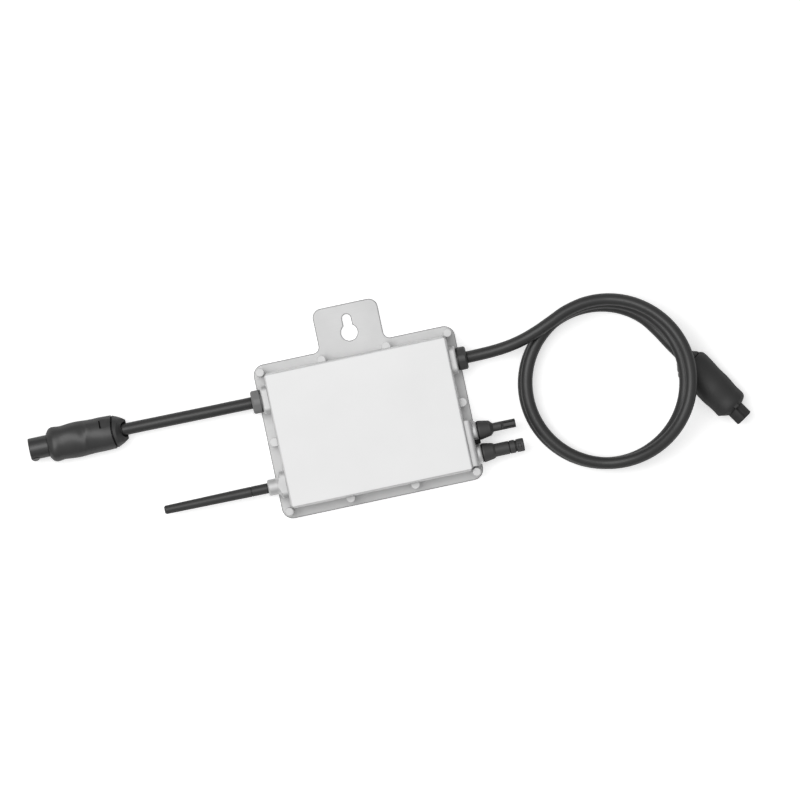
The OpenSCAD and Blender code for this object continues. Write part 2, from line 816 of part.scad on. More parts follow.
module thick_contact() {
    color(tin) out_of_wall(1, thick_y) {
        lifted(78) cylinder(r = contact_r, h = 60.5);
        lifted(138.5) cylinder(r1 = contact_r, r2 = 1.2, h = 1.5);
    }
}

// Plug of the pressure vent, in the wall above the gap between the panel connectors
module vent_plug() {
    color(black) out_of_wall(1, vent_y) translate([-vent_up, 0, 0]) {
        lifted(cavity_x - 1) cylinder(r = vent_bore_r - gap, h = dc_block_face - cavity_x + 1.5);
        lifted(dc_block_face) edged_disc(2.4, 5.6, 0.8);
    }
}

// Antenna: local z runs out of the left wall

module antenna_base() {
    color(brass) out_of_wall(-1, antenna_y) {
        lifted(inside_x) cylinder(r = 4 - gap, h = nozzle_face - inside_x);
        lifted(nozzle_face - 1) cylinder(r = 2, h = 12);
    }
}

module antenna_whip() {
    groove = 128.3;
    color(black) out_of_wall(-1, antenna_y) difference() {
        union() {
            lifted(nozzle_face) cylinder(r = whip_root_r, h = groove - nozzle_face - 0.4);
            lifted(groove - 1) cylinder(r = whip_root_r - 0.35, h = 2);
            lifted(groove + 0.4) cylinder(r1 = whip_root_r, r2 = whip_tip_r, h = whip_end - groove - 1.8);
            lifted(whip_end - 1.4) cylinder(r1 = whip_tip_r, r2 = whip_tip_r - 1.1, h = 1.4);
        }
        lifted(nozzle_face - 1) cylinder(r = 2 + gap, h = 14);
    }
}

module antenna_seal() {
    color("#222324") out_of_wall(-1, antenna_y) lifted(nozzle_face - 1.5) ring(5.55, 4, 1.5);
}

module antenna_nut() {
    color(brass) out_of_wall(-1, antenna_y) lifted(86) difference() {
        cylinder(r = 6.5, h = cavity_x - 86, $fn = 6);
        translate([0, 0, -1]) cylinder(r = 4, h = 10);
    }
}

// Electronics on the board

module main_board() {
    color(board_green) translate([0, 0, board_z]) difference() {
        linear_extrude(board_t) rounded_rect(2 * board_half[0], 2 * board_half[1], 3);
        for (spot = standoffs) translate([spot[0], spot[1], -1]) cylinder(r = 1.6, h = board_t + 2);
    }
}

module board_screws() {
    color(tin) for (spot = standoffs) translate([spot[0], spot[1], board_z]) {
        translate([0, 0, -2]) cylinder(r = 2.8, h = 2);
        translate([0, 0, -1]) cylinder(r = 1.3, h = 9);
    }
}

module terminal_block(side) {
    out_of_wall(side, gland_y) difference() {
        translate([axis_z - board_top - block_size[2], -9, 66])
            cube([block_size[2], block_size[1], block_size[0]]);
        for (k = [-1:1]) translate([0, k * core_pitch, 70]) cylinder(r = 1.55, h = 20);
        for (k = [-1:1]) translate([-8, k * core_pitch, 72]) rotate([0, 90, 0]) cylinder(r = 1.6, h = 6);
    }
}

module terminal_block_left() { color("#3d7a55") terminal_block(-1); }
module terminal_block_right() { color("#3d7a55") terminal_block(1); }

// The cable's three cores run from the end of its jacket into the terminal block
module trunk_cores(side) {
    out_of_wall(side, gland_y) for (k = [-1:1]) {
        translate([0, 3.4 * k, inside_x - 1.6]) cylinder(r = 1.5, h = 1.6);
        rod([0, 3.4 * k, inside_x - 1], [0, core_pitch * k, 78.4], 1.45);
        translate([0, core_pitch * k, 71]) cylinder(r = 1.5, h = 8.4);
    }
}

module trunk_cores_left() { color("#8a5a34") trunk_cores(-1); }
module trunk_cores_right() { color("#8a5a34") trunk_cores(1); }

transformer_at = [5, -4, 21.5];
leg = [13, 16];
window = [8.5, 27];
core_size = [42, 40];

module transformer_core() {
    color("#3b3b3e") translate(transformer_at) translate([0, 0, -leg[1] / 2])
        linear_extrude(leg[1]) difference() {
            rounded_rect(core_size[0], core_size[1], 1);
            for (side = [-1, 1]) translate([side * (leg[0] + window[0]) / 2, 0])
                square(window, center = true);
        }
}

module leg_sleeve(extra, length) {
    cube([leg[0] + extra, length, leg[1] + extra], center = true);
}

module transformer_bobbin() {
    foot = transformer_at[2] - board_top;
    color("#d8cfb2") translate(transformer_at) difference() {
        union() {
            leg_sleeve(2, window[1] - 0.2);
            for (side = [-1, 1]) translate([0, side * (window[1] / 2 - 0.8), (10.5 - foot) / 2])
                cube([leg[0] + 2 * window[0] - 0.6, 1.4, 10.5 + foot], center = true);
        }
        leg_sleeve(0.1, 60);
    }
}

module transformer_winding() {
    color("#b0642c") translate(transformer_at) difference() {
        rotate([90, 0, 0]) translate([0, 0, -12]) linear_extrude(24)
            rounded_rect(leg[0] + 2 * window[0] - 1.4, 2 * 9.9, 3);
        leg_sleeve(2.1, 60);
    }
}

module capacitor(y) {
    r = 8.2;
    long = 32;
    color("#2b3f66") translate([34, y, board_top + r]) rotate([0, 90, 0]) difference() {
        edged_disc(r, long, 1);
        lifted(4) ring(r + 1, r - 0.6, 1.2);
        lifted(-1) cylinder(r = r - 1.6, h = 1.6);
    }
}

module capacitor_1() { capacitor(capacitor_ys[0]); }
module capacitor_2() { capacitor(capacitor_ys[1]); }
module capacitor_3() { capacitor(capacitor_ys[2]); }
module capacitor_4() { capacitor(capacitor_ys[3]); }

choke_r = 10;
choke_ring = [5, 7];
choke_wire_half = [4.5, 5.5];
choke_at = [-42, -6, board_top + choke_wire_half[1]];

module choke_core() {
    color("#3f6f52") translate(choke_at) rotate_extrude() translate([choke_r, 0])
        square(choke_ring, center = true);
}

module choke_winding() {
    color("#b0642c") translate(choke_at) for (half = [0, 180]) rotate([0, 0, half + 25])
        rotate_extrude(angle = 130) translate([choke_r, 0]) difference() {
            rounded_rect(2 * choke_wire_half[0], 2 * choke_wire_half[1], 2);
            square(choke_ring + [0.1, 0.1], center = true);
        }
}

module film_capacitor() { color("#c9b23c") box_on(-21, 46, board_top, [26, 12, 19]); }
module relay_1() { color("#2f5f8a") box_on(-57, 34, board_top, [13, 28, 16]); }
module relay_2() { color("#2f5f8a") box_on(-41, 34, board_top, [13, 28, 16]); }

transistor_top = cavity_top - 0.5;

module transistors() {
    for (x = transistor_xs) translate([x, 34, transistor_top]) {
        color("#2b2b2d") translate([-5, -9, -4.5]) cube([10, 9.5, 3.2]);
        color(tin) translate([-5, -9, -1.3]) cube([10, 15.5, 1.3]);
        color(tin) for (k = [-1:1]) {
            translate([2.54 * k - 0.4, -11, -3.2]) cube([0.8, 3, 0.5]);
            translate([2.54 * k - 0.4, -11, board_top - transistor_top])
                cube([0.8, 0.5, transistor_top - board_top - 2.7]);
        }
    }
}

module thermal_pad() {
    from = transistor_xs[0] - 7;
    to = transistor_xs[len(transistor_xs) - 1] + 7;
    color("#9fb0b8") translate([from, 24, transistor_top])
        cube([to - from, 18, cavity_top - transistor_top]);
}

module radio_board() {
    color("#244f6b") {
        translate([-80, -52, board_top + 3]) cube([32, 24, 1.2]);
        for (x = [-79, -55]) translate([x, -50, board_top]) cube([6, 20, 3]);
    }
}

module radio_shield() {
    color(tin) box_on(-61, -40, board_top + 4.2, [20, 20, 3]);
}

// Thin coaxial lead from the antenna's base to the radio board
module antenna_lead() {
    from = [-inside_x, antenna_y, axis_z];
    knee = [-78, antenna_y, axis_z];
    down = [-76, antenna_y, board_top + 4.2];
    color(black) {
        rod(from, knee, 1.1);
        translate(knee) sphere(1.1);
        rod(knee, down + [0, 0, 0.8], 1.1);
        translate(down - [2.2, 2.2, 0]) cube([4.4, 4.4, 1.6]);
    }
}

// Insulated leads from the panel contacts down to the board
module panel_leads() {
    color("#8c2f2f") for (y = [thin_y, thick_y]) {
        knee = [75, y, axis_z];
        rod([78, y, axis_z], knee, 1.9);
        translate(knee) sphere(1.9);
        rod(knee, [75, y, board_top], 1.9);
    }
}

back_cover();
housing();
cover_gasket();
cover_screws();
front_label();
gland_body_left();
gland_body_right();
gland_seal_left();
gland_seal_right();
gland_nut_left();
gland_nut_right();
trunk_cable_left();
trunk_cable_right();
socket_grip();
socket_nut();
socket_seal();
socket_insert();
socket_pins();
plug_grip();
plug_nut();
plug_seal();
plug_insert();
plug_contacts();
thin_connector();
thin_connector_nut();
thin_connector_seal();
thin_contact();
thick_connector();
thick_connector_nut();
thick_connector_seal();
thick_contact();
vent_plug();
antenna_base();
antenna_whip();
antenna_seal();
antenna_nut();
main_board();
board_screws();
terminal_block_left();
terminal_block_right();
trunk_cores_left();
trunk_cores_right();
transformer_core();
transformer_bobbin();
transformer_winding();
capacitor_1();
capacitor_2();
capacitor_3();
capacitor_4();
choke_core();
choke_winding();
film_capacitor();
relay_1();
relay_2();
transistors();
thermal_pad();
radio_board();
radio_shield();
antenna_lead();
panel_leads();
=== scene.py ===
# %% [markdown]
# # A solar microinverter, seen from straight above
# The real thing is a flat die-cast box on a back plate with a hanging tab. Two trunk cables leave it,
# each with a round connector, and two short panel connectors and a stub antenna stand on its sides.
# The solids with a real size come from the CAD frame. This script lights them, gives every one its
# material, and remakes the pieces whose look depends on a finer surface than a solid needs.

# %% Load the frame
from math import cos, pi, radians, sin

import bmesh
import bpy
import numpy as np
from mathutils import Matrix, Vector


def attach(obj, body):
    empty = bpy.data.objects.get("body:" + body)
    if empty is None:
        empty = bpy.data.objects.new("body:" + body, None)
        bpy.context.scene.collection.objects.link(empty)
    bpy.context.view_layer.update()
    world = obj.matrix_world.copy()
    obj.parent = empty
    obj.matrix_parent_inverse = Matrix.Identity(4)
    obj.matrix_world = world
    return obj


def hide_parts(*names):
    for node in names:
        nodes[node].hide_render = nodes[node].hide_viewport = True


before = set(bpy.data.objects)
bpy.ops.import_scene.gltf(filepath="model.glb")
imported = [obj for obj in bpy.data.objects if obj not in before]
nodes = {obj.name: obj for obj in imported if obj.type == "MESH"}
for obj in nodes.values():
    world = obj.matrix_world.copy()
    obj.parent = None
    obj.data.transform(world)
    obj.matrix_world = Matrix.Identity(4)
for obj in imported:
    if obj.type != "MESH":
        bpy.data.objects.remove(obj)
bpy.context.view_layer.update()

MM = 0.001
scene = bpy.context.scene

# %% [markdown]
# ## The camera
# The photograph looks straight down and the unit is turned 12 degrees anticlockwise in it, so the camera
# is turned 12 degrees the other way and the unit stays square to the axes. A long lens from far away
# shows no perspective, which is how the photograph looks: the box's four walls can't be seen.

# %% Camera
TURN = radians(12)
VIEW_CENTRE = (35.4 * MM, 14.7 * MM)
CAMERA_HEIGHT = 8.0
FRAME_SIZE = 0.801
SENSOR = 36.0

camera_data = bpy.data.cameras.new("camera")
camera_data.sensor_width = SENSOR
camera_data.lens = SENSOR * CAMERA_HEIGHT / FRAME_SIZE
camera_data.clip_end = 100
camera = bpy.data.objects.new("camera", camera_data)
camera.location = (VIEW_CENTRE[0], VIEW_CENTRE[1], CAMERA_HEIGHT)
camera.rotation_euler = (0, 0, -TURN)
scene.collection.objects.link(camera)
scene.camera = camera
print("camera: lens", round(camera_data.lens, 1), "mm, frame", FRAME_SIZE, "m")

# %% [markdown]
# ## Helpers for node trees
# Materials and geometry trees are both made of nodes. One small function adds a node, sets it up and
# joins its inputs. A colour is written as the hex value that a picture editor shows, and one function
# turns it into the linear numbers that Blender works in.

# %% Helpers


def linear(hex_value):
    channels = [int(hex_value[i:i + 2], 16) / 255 for i in (1, 3, 5)]
    return tuple(c / 12.92 if c <= 0.04045 else ((c + 0.055) / 1.055) ** 2.4 for c in channels) + (1.0,)


def add(tree, kind, inputs=(), **settings):
    """Adds a node. inputs maps a socket's name or number to a value or to another node's output."""
    node = tree.nodes.new(kind)
    for name, value in settings.items():
        setattr(node, name, value)
    for name, value in dict(inputs).items():
        if isinstance(value, bpy.types.NodeSocket):
            tree.links.new(value, node.inputs[name])
        else:
            node.inputs[name].default_value = value
    return node


def link_piece(name, mesh):
    piece = bpy.data.objects.new(name, mesh)
    scene.collection.objects.link(piece)
    return piece


print("mid grey in linear light:", round(linear("#808080")[0], 3))

# %% [markdown]
# ## The trunk cables
# Each trunk cable is a round rubber jacket 12 mm across, and it lies where it fell: the left one runs
# straight to its socket, the right one makes two loose turns and ends in its plug. The route is a short
# list of points with a smooth curve through them. Geometry Nodes sweep a circle along that curve,
# because a tube follows one rule all the way and its thickness stays one number.

# %% Smooth route through points


def smooth_route(points, step):
    """Catmull-Rom curve through the points, with a new point about every step."""
    p = np.array(points, dtype=float)
    p = np.vstack([2 * p[0] - p[1], p, 2 * p[-1] - p[-2]])
    route = []
    for a, b, c, d in zip(p[:-3], p[1:-2], p[2:-1], p[3:]):
        count = max(1, round(float(np.linalg.norm(c - b)) / step))
        for t in np.arange(count) / count:
            route.append(0.5 * (2 * b + (c - a) * t + (2 * a - 5 * b + 4 * c - d) * t ** 2
                                + (3 * b - a - 3 * c + d) * t ** 3))
    route.append(p[-2])
    return np.array(route)


def route_length(route):
    return float(np.linalg.norm(np.diff(route, axis=0), axis=1).sum())


CABLE_R = 6 * MM
CABLE_STEP = 2.5 * MM
CABLE_SIDES = 32
LEFT_POINTS = [
    (-84, 43, 18.5), (-96, 43, 18.5), (-109, 43, 18.5), (-121, 43, 18.4), (-134, 43.1, 18.1),
    (-148, 43.1, 17.7), (-162, 43.2, 17.2), (-177, 43.3, 16.7), (-192, 43.4, 16.2),
    (-207, 43.5, 15.7), (-222, 43.6, 15.4), (-240, 43.6, 15.4), (-259, 43.6, 15.4),
]
left_route = smooth_route(np.array(LEFT_POINTS) * MM, CABLE_STEP)
print("left cable:", round(route_length(left_route), 4), "m in", len(left_route), "points")

# %% [markdown]
# The right cable's turns are easier to say as a radius and a height at each angle than as points. The
# rows give the angle swept so far and the value there. The radius follows a smooth curve through its
# rows. The height stays level at each row and eases between them, so that a turn crosses the one below
# in a long low hump.

# %% The right cable's route


def row_before(rows, x):
    return max(i for i in range(len(rows) - 1) if i == 0 or rows[i][0] <= x)


def slope_at(rows, i, column):
    a, b = rows[max(i - 1, 0)], rows[min(i + 1, len(rows) - 1)]
    return (b[column] - a[column]) / (b[0] - a[0])


def curve_at(rows, x, column=1):
    """Smooth curve through rows of (distance, value, ...): the value in one column at distance x."""
    i = row_before(rows, x)
    a, b = rows[i], rows[i + 1]
    span = b[0] - a[0]
    t = (x - a[0]) / span
    bend = slope_at(rows, i, column) * (1 - t) - slope_at(rows, i + 1, column) * t
    return a[column] + (b[column] - a[column]) * t * t * (3 - 2 * t) + span * t * (1 - t) * bend


def eased_at(rows, x):
    i = row_before(rows, x)
    (x0, y0), (x1, y1) = rows[i], rows[i + 1]
    return y0 + (y1 - y0) * (1 - cos(pi * (x - x0) / (x1 - x0))) / 2


LEAD_POINTS = [
    (84, 43, 18.5), (109, 43, 18.5), (125, 43.2, 18.9), (140, 43.9, 20.4),
    (155, 45.7, 23), (170, 49.2, 26.8), (185, 54.4, 29.6), (200, 60.8, 30.5),
]
LOOP_CENTRE = (241.3, -9.6)
LOOP_START, LOOP_SWEEP, LOOP_STEP = 108, 795, 15
LOOP_RADII = [
    (0, 81.2), (60, 82.5), (120, 83.2), (210, 81.5), (300, 80.2), (390, 78.9),
    (480, 77.5), (570, 81.6), (660, 82.8), (750, 75.5), (795, 71.8),
]
LOOP_HEIGHTS = [
    (0, 30.7), (25, 30.9), (95, 48.6), (135, 48.6), (218, 18.3), (300, 18.3), (392, 18.4),
    (462, 37.2), (485, 37.2), (563, 6), (660, 6), (745, 6), (795, 8.6),
]
PLUG_PLACE = np.array([321, -1.7, 15.4])
PLUG_TURN = radians(-57)
PLUG_AXIS = np.array([cos(PLUG_TURN), sin(PLUG_TURN), 0])


def loop_point(swept):
    r, angle = curve_at(LOOP_RADII, swept), radians(LOOP_START - swept)
    return (LOOP_CENTRE[0] + r * cos(angle), LOOP_CENTRE[1] + r * sin(angle), eased_at(LOOP_HEIGHTS, swept))


loop_points = [loop_point(swept) for swept in range(0, LOOP_SWEEP + 1, LOOP_STEP)]
exit_points = [tuple(PLUG_PLACE + along * PLUG_AXIS - (0, 0, drop))
               for along, drop in ((-18, 2.8), (-5, 0.4), (4.4, 0), (19.9, 0))]
right_route = smooth_route(np.array(LEAD_POINTS + loop_points + exit_points) * MM, CABLE_STEP)
print("right cable:", round(route_length(right_route), 4), "m in", len(right_route), "points")

# %% [markdown]
# The tree that sweeps the tube takes the route as a string of edges, turns it into a curve, sweeps a
# circle along it and closes the ends. Its sizes are named inputs, so one tree makes both cables.

# %% Geometry Nodes: a tube along a route


def new_geometry_tree(name, inputs):
    """A geometry tree with one geometry in and out, and named inputs as (name, socket type, default)."""
    tree = bpy.data.node_groups.new(name, "GeometryNodeTree")
    tree.interface.new_socket("Geometry", in_out="INPUT", socket_type="NodeSocketGeometry")
    tree.interface.new_socket("Geometry", in_out="OUTPUT", socket_type="NodeSocketGeometry")
    for label, socket_type, default in inputs:
        socket = tree.interface.new_socket(label, in_out="INPUT", socket_type=socket_type)
        if default is not None:
            socket.default_value = default
    return tree


def run_tree(piece, tree, values):
    """Puts the tree on a piece, sets its inputs, and returns the result as a plain mesh."""
    modifier = piece.modifiers.new(tree.name, "NODES")
    modifier.node_group = tree
    for item in tree.interface.items_tree:
        if item.in_out == "INPUT" and item.name in values:
            modifier[item.identifier] = values[item.name]
    bpy.context.view_layer.update()
    evaluated = piece.evaluated_get(bpy.context.evaluated_depsgraph_get())
    mesh = bpy.data.meshes.new_from_object(evaluated)
    piece.modifiers.remove(modifier)
    return mesh


tube_tree = new_geometry_tree("tube along a route", [
    ("Radius", "NodeSocketFloat", CABLE_R), ("Sides", "NodeSocketInt", CABLE_SIDES),
    ("Material", "NodeSocketMaterial", None)])
source = add(tube_tree, "NodeGroupInput")
curve = add(tube_tree, "GeometryNodeMeshToCurve", {"Mesh": source.outputs["Geometry"]})
circle = add(tube_tree, "GeometryNodeCurvePrimitiveCircle", {
    "Resolution": source.outputs["Sides"], "Radius": source.outputs["Radius"]})
swept = add(tube_tree, "GeometryNodeCurveToMesh", {
    "Curve": curve.outputs["Curve"], "Profile Curve": circle.outputs["Curve"], "Fill Caps": True})
smooth = add(tube_tree, "GeometryNodeSetShadeSmooth", {"Geometry": swept.outputs["Mesh"]})
real = add(tube_tree, "GeometryNodeRealizeInstances", {"Geometry": smooth.outputs["Geometry"]})
coated = add(tube_tree, "GeometryNodeSetMaterial", {
    "Geometry": real.outputs["Geometry"], "Material": source.outputs["Material"]})
add(tube_tree, "NodeGroupOutput", {"Geometry": coated.outputs["Geometry"]})
print("tube tree:", len(tube_tree.nodes), "nodes")

# %% [markdown]
# ## What every finish shares
# No real surface has one colour or one height all over. So a finish here has two close colours in soft
# patches, and a grain that bumps the skin and changes its roughness a little. A moulded or blasted skin
# has a grain of 0.05 to 0.2 mm. That is too fine to show at a millimetre to a pixel, so each grain here is
# drawn two to eight times as coarse.

# %% Patches and grain


def new_material(name):
    material = bpy.data.materials.new(name)
    material.use_nodes = True
    tree = material.node_tree
    tree.nodes.clear()
    shader = add(tree, "ShaderNodeBsdfPrincipled")
    add(tree, "ShaderNodeOutputMaterial", {"Surface": shader.outputs["BSDF"]})
    place = add(tree, "ShaderNodeTexCoord")
    return material, tree, shader, place.outputs["Object"]


def patchy(tree, place, size, colours, detail=3.0, roughness=0.5):
    """Two close colours in soft patches about size metres across."""
    patches = add(tree, "ShaderNodeTexNoise", {
        "Vector": place, "Scale": 1 / size, "Detail": detail, "Roughness": roughness})
    amount = add(tree, "ShaderNodeMapRange", {
        "Value": patches.outputs["Fac"], "From Min": 0.35, "From Max": 0.65})
    return add(tree, "ShaderNodeMix", {
        "Factor": amount.outputs["Result"], 6: linear(colours[0]), 7: linear(colours[1])},
        data_type="RGBA").outputs[2]


def grained(tree, shader, height, roughness, depth, normal=None):
    """One height pattern makes the grain: it bumps the surface, and the roughness follows it."""
    level = add(tree, "ShaderNodeMapRange", {
        "Value": height, "To Min": roughness[0], "To Max": roughness[1]})
    tree.links.new(level.outputs["Result"], shader.inputs["Roughness"])
    inputs = {"Height": height, "Distance": depth, "Strength": 1.0}
    if normal is not None:
        inputs["Normal"] = normal
    return add(tree, "ShaderNodeBump", inputs).outputs["Normal"]


print("a grain 0.5 mm wide is a noise scale of", round(1 / (0.5 * MM)))

# %% [markdown]
# No moulded or cut edge is quite sharp, so a plain finish also bends its normals over close to an edge.
# In plastic, a narrow groove gets painted shade: its colour goes towards near black and its reflection
# fades where little light gets in. Where the surface turns away, its reflection is weakened too, a painted
# shade that darkens the rims. One function makes every plain finish, and a metal gets neither painted shade.

# %% One function for every plain finish
EDGE_R, GROOVE = 0.5 * MM, 2 * MM
BEVEL_SAMPLES, GROOVE_SAMPLES = 6, 8
# Near black, painted into the narrow grooves of plastic as shade
GROOVE_SHADE_COLOUR = "#0d0d0d"


def groove_shade_mask(tree, width, alone):
    """One where most of the view within a groove's width is closed off, by the piece alone or by any: it
    places the painted groove shade.
    """
    opening = add(tree, "ShaderNodeAmbientOcclusion", {"Distance": width},
                  samples=GROOVE_SAMPLES, only_local=alone).outputs["AO"]
    return add(tree, "ShaderNodeMapRange", {
        "Value": opening, "From Min": 0.85, "From Max": 0.5}).outputs["Result"]


def painted_rim_shade(tree):
    """Painted rim shade: less reflection where the surface turns away, so that rounded edges render darker.
    """
    away = add(tree, "ShaderNodeLayerWeight", {"Blend": 0.5}).outputs["Facing"]
    return add(tree, "ShaderNodeMapRange", {
        "Value": away, "From Min": 0.15, "From Max": 0.7, "To Min": 0.5, "To Max": 0.1}).outputs["Result"]


def surface(name, colours, roughness, grain, depth, mottle=30 * MM, metallic=0.0, ior=1.5,
            groove=GROOVE, alone=False):
    """grain and mottle are the widths of grain and patches, depth is the grain's height, in metres."""
    material, tree, shader, place = new_material(name)
    colour = patchy(tree, place, mottle, colours, detail=4.0, roughness=0.55)
    # In plastic, painted shade: a groove's colour goes towards near black and loses its reflection, and the
    # rims lose reflection too
    if not metallic:
        closed = groove_shade_mask(tree, groove, alone)
        colour = add(tree, "ShaderNodeMix", {
            "Factor": closed, 6: colour, 7: linear(GROOVE_SHADE_COLOUR)}, data_type="RGBA").outputs[2]
        open_part = add(tree, "ShaderNodeMapRange", {"Value": closed, "To Min": 1.0, "To Max": 0.1})
        sheen = add(tree, "ShaderNodeMath", {
            0: open_part.outputs["Result"], 1: painted_rim_shade(tree)}, operation="MULTIPLY")
        tree.links.new(sheen.outputs[0], shader.inputs["Specular IOR Level"])
        shader.inputs["IOR"].default_value = ior
    tree.links.new(colour, shader.inputs["Base Color"])
    fine = add(tree, "ShaderNodeTexNoise", {
        "Vector": place, "Scale": 1 / grain, "Detail": 2.0}).outputs["Fac"]
    bent = add(tree, "ShaderNodeBevel", {"Radius": EDGE_R}, samples=BEVEL_SAMPLES).outputs["Normal"]
    normal = grained(tree, shader, fine, (roughness - 0.05, roughness + 0.05), depth, bent)
    tree.links.new(normal, shader.inputs["Normal"])
    shader.inputs["Metallic"].default_value = metallic
    return material


print("grooves up to", GROOVE / MM, "mm wide turn dark")

# %% [markdown]
# ## The cable's jacket
# The jacket is halogen-free rubber, extruded through a round die. That leaves a smooth satin skin with a
# soft highlight along its top, and faint unevenness where it was dragged through the die and handled.
# One function sweeps a tube along any route, and is used again where the inside has wire.

# %% Sweep both cables
cable_rubber = surface(
    "extruded rubber jacket", ("#262626", "#2b2b2b"), roughness=0.4, grain=0.5 * MM, depth=0.012 * MM,
    mottle=45 * MM)


def sweep(name, routes, radius, sides, material):
    """A tube along each route, all as one piece."""
    points = [tuple(point) for route in routes for point in route]
    ends = np.cumsum([len(route) for route in routes])
    skeleton = bpy.data.meshes.new(name + "_route")
    skeleton.from_pydata(points, [(i, i + 1) for i in range(len(points) - 1) if i + 1 not in ends], [])
    holder = link_piece(name + "_route", skeleton)
    mesh = run_tree(holder, tube_tree, {"Radius": radius, "Sides": sides, "Material": material})
    bpy.data.objects.remove(holder)
    return link_piece(name, mesh)


left_cable = sweep("jacket_left", [left_route], CABLE_R, CABLE_SIDES, cable_rubber)
right_cable = sweep("jacket_right", [right_route], CABLE_R, CABLE_SIDES, cable_rubber)
for cable in (left_cable, right_cable):
    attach(cable, "root")
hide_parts("trunk_cable_left")
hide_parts("trunk_cable_right")
print("cables:", [len(cable.data.polygons) for cable in (left_cable, right_cable)], "faces")

# %% [markdown]
# ## The trunk connectors
# The grips are moulded from a black engineering plastic: a rounded oval with waists for finger and thumb.
# Its crest doesn't run straight but swings from side to side, so the light draws an S along the top. The
# sections change all the way, so the skin is lofted ring by ring: each ring is a superellipse whose half
# width, half height and crest come from smooth curves through a few measured rows.

# %% Rings of the grips and nuts
GRIP_POWER = 2.05
SIDES = 128
# Distance from the rear, half width, half height, and how far the crest stands to one side
SOCKET_NUT = [
    (0, 9.6, 9.4, 0), (3, 11.8, 11, 0.5), (6, 13.6, 12.4, 1), (9, 15, 13.6, 1.8), (12.8, 16.3, 14.7, 1.6),
]
SOCKET_GRIP = [
    (14.6, 16.8, 14.9, 1.3), (25, 17.2, 15.2, 0.6), (34, 17.1, 14.9, -0.8), (39.5, 17.3, 15, -2),
    (43.5, 17.6, 15.2, 1.7), (50, 17.9, 15.3, -0.6), (57, 17.6, 15, -2), (66, 16.8, 14.5, -1.4),
    (74, 17.5, 15.1, 2), (77.5, 15.9, 13.9, 3), (80.3, 12.2, 12, 0),
]
PLUG_NUT = [(0, 9.4, 9.2, 0), (3, 11.6, 10.8, 0), (5, 13.4, 12.2, 0), (7.6, 14.7, 13.2, 0)]
PLUG_GRIP = [
    (8.4, 15.3, 13.8, 0), (11.6, 17.6, 15.1, 0), (20, 18, 15.3, 0), (34, 17.4, 14.5, 0), (45, 17.6, 15.2, 0),
    (58, 16.7, 14.4, 0), (67, 16.8, 14.8, 0), (70.5, 15, 13.4, 0), (73, 10.4, 10.4, 0),
]


def oval(x, w, h, shift=0.0, power=2.0):
    """A superellipse across the axis, w wide and h high each way, whose upper half leans by shift."""
    a = 2 * pi * np.arange(SIDES) / SIDES
    across = np.sign(np.cos(a)) * np.abs(np.cos(a)) ** (2 / power)
    rise = np.sign(np.sin(a)) * np.abs(np.sin(a)) ** (2 / power)
    lean = shift * np.maximum(rise, 0) ** 2
    return np.stack([np.full(SIDES, float(x)), lean - w * across, h * rise], axis=1)


def round_ring(x, r):
    return oval(x, r, r)


def skin_rings(rows, spacing=0.6):
    low, high = rows[0][0], rows[-1][0]
    return [oval(x, *(curve_at(rows, x, column) for column in (1, 2, 3)), GRIP_POWER)
            for x in np.linspace(low, high, round((high - low) / spacing) + 1)]


print("rings:", [len(skin_rings(rows)) for rows in (SOCKET_GRIP, SOCKET_NUT, PLUG_GRIP, PLUG_NUT)])

# %% [markdown]
# The seam between a nut and its grip isn't straight either: both edges bow forwards in the middle. The
# rings keep their shape and their planes bend, by an amount that fades away from the seam. A slimmer neck
# closes the seam from inside, so it looks like a dark groove and not like a gap.

# %% Close a grip or a nut and set it in place


def bowed(points, seam, fade_end, bow, half):
    """Moves points forwards in the middle and backwards at the sides, fully from the seam on."""
    near = np.clip(1 - (points[:, 0] - seam) / (fade_end - seam), 0, 1)
    points[:, 0] += bow * near * (0.5 - (points[:, 1] / half) ** 2)
    return points


def loft(name, rings, closed):
    """Joins rings of equally many points. closed joins the last to the first, or else the ends get caps."""
    count, sides = len(rings), len(rings[0])
    faces = [] if closed else [tuple(range(sides)), tuple(range((count - 1) * sides, count * sides))]
    for i in range(count if closed else count - 1):
        start, end = i * sides, (i + 1) % count * sides
        for k in range(sides):
            m = (k + 1) % sides
            faces.append((start + k, start + m, end + m, end + k))
    mesh = bpy.data.meshes.new(name)
    mesh.from_pydata([tuple(p * MM) for p in np.concatenate(rings)], [], faces)
    work = bmesh.new()
    work.from_mesh(mesh)
    bmesh.ops.recalc_face_normals(work, faces=work.faces)
    work.to_mesh(mesh)
    work.free()
    return mesh


def hollow_piece(name, rows, inside, bow, place, turn):
    """The rows' skin outside, and inside rings from front to rear: rows, or a distance and a radius."""
    rings = skin_rings(rows)
    rings += [round_ring(*row) if len(row) == 2 else oval(*row, GRIP_POWER) for row in inside]
    mesh = loft(name, [bowed(ring, *bow) for ring in rings], closed=True)
    mesh.transform(Matrix.Translation(Vector(place) * MM) @ Matrix.Rotation(turn, 4, "Z"))
    return link_piece(name, mesh)


NECK_SIDE, NECK_TOP = 0.9, 3.2
SPIGOT_R, SPIGOT_LONG, SEAL_R = 10.6, 3, 8.65
NUT_BORE, NUT_MOUTH, POCKET_R = 7.5, 7.9, 10.65
SOCKET_SEAT, SOCKET_BORE, SOCKET_SEAL_FROM, SOCKET_MOUTH_DEEP = 22, 11.05, 9, 7
PLUG_SEAT, PLUG_BORE, PLUG_SEAL_FROM, PLUG_MOUTH_DEEP = 20, 8.6, 4.5, 2.6
SOCKET_AT = ((-237, 43.6, 15.4), pi)
PLUG_AT = (tuple(PLUG_PLACE), PLUG_TURN)
# Each bow: where it starts, where it has faded, how far it goes, and the half width there
SOCKET_GRIP_BOW, SOCKET_NUT_BOW = (14.6, 21.5, 2.6, 16.5), (12.8, 10, 2.6, 16.5)
PLUG_GRIP_BOW, PLUG_NUT_BOW = (8.4, 14, 1.2, 15), (7.6, 5, 1.2, 15)


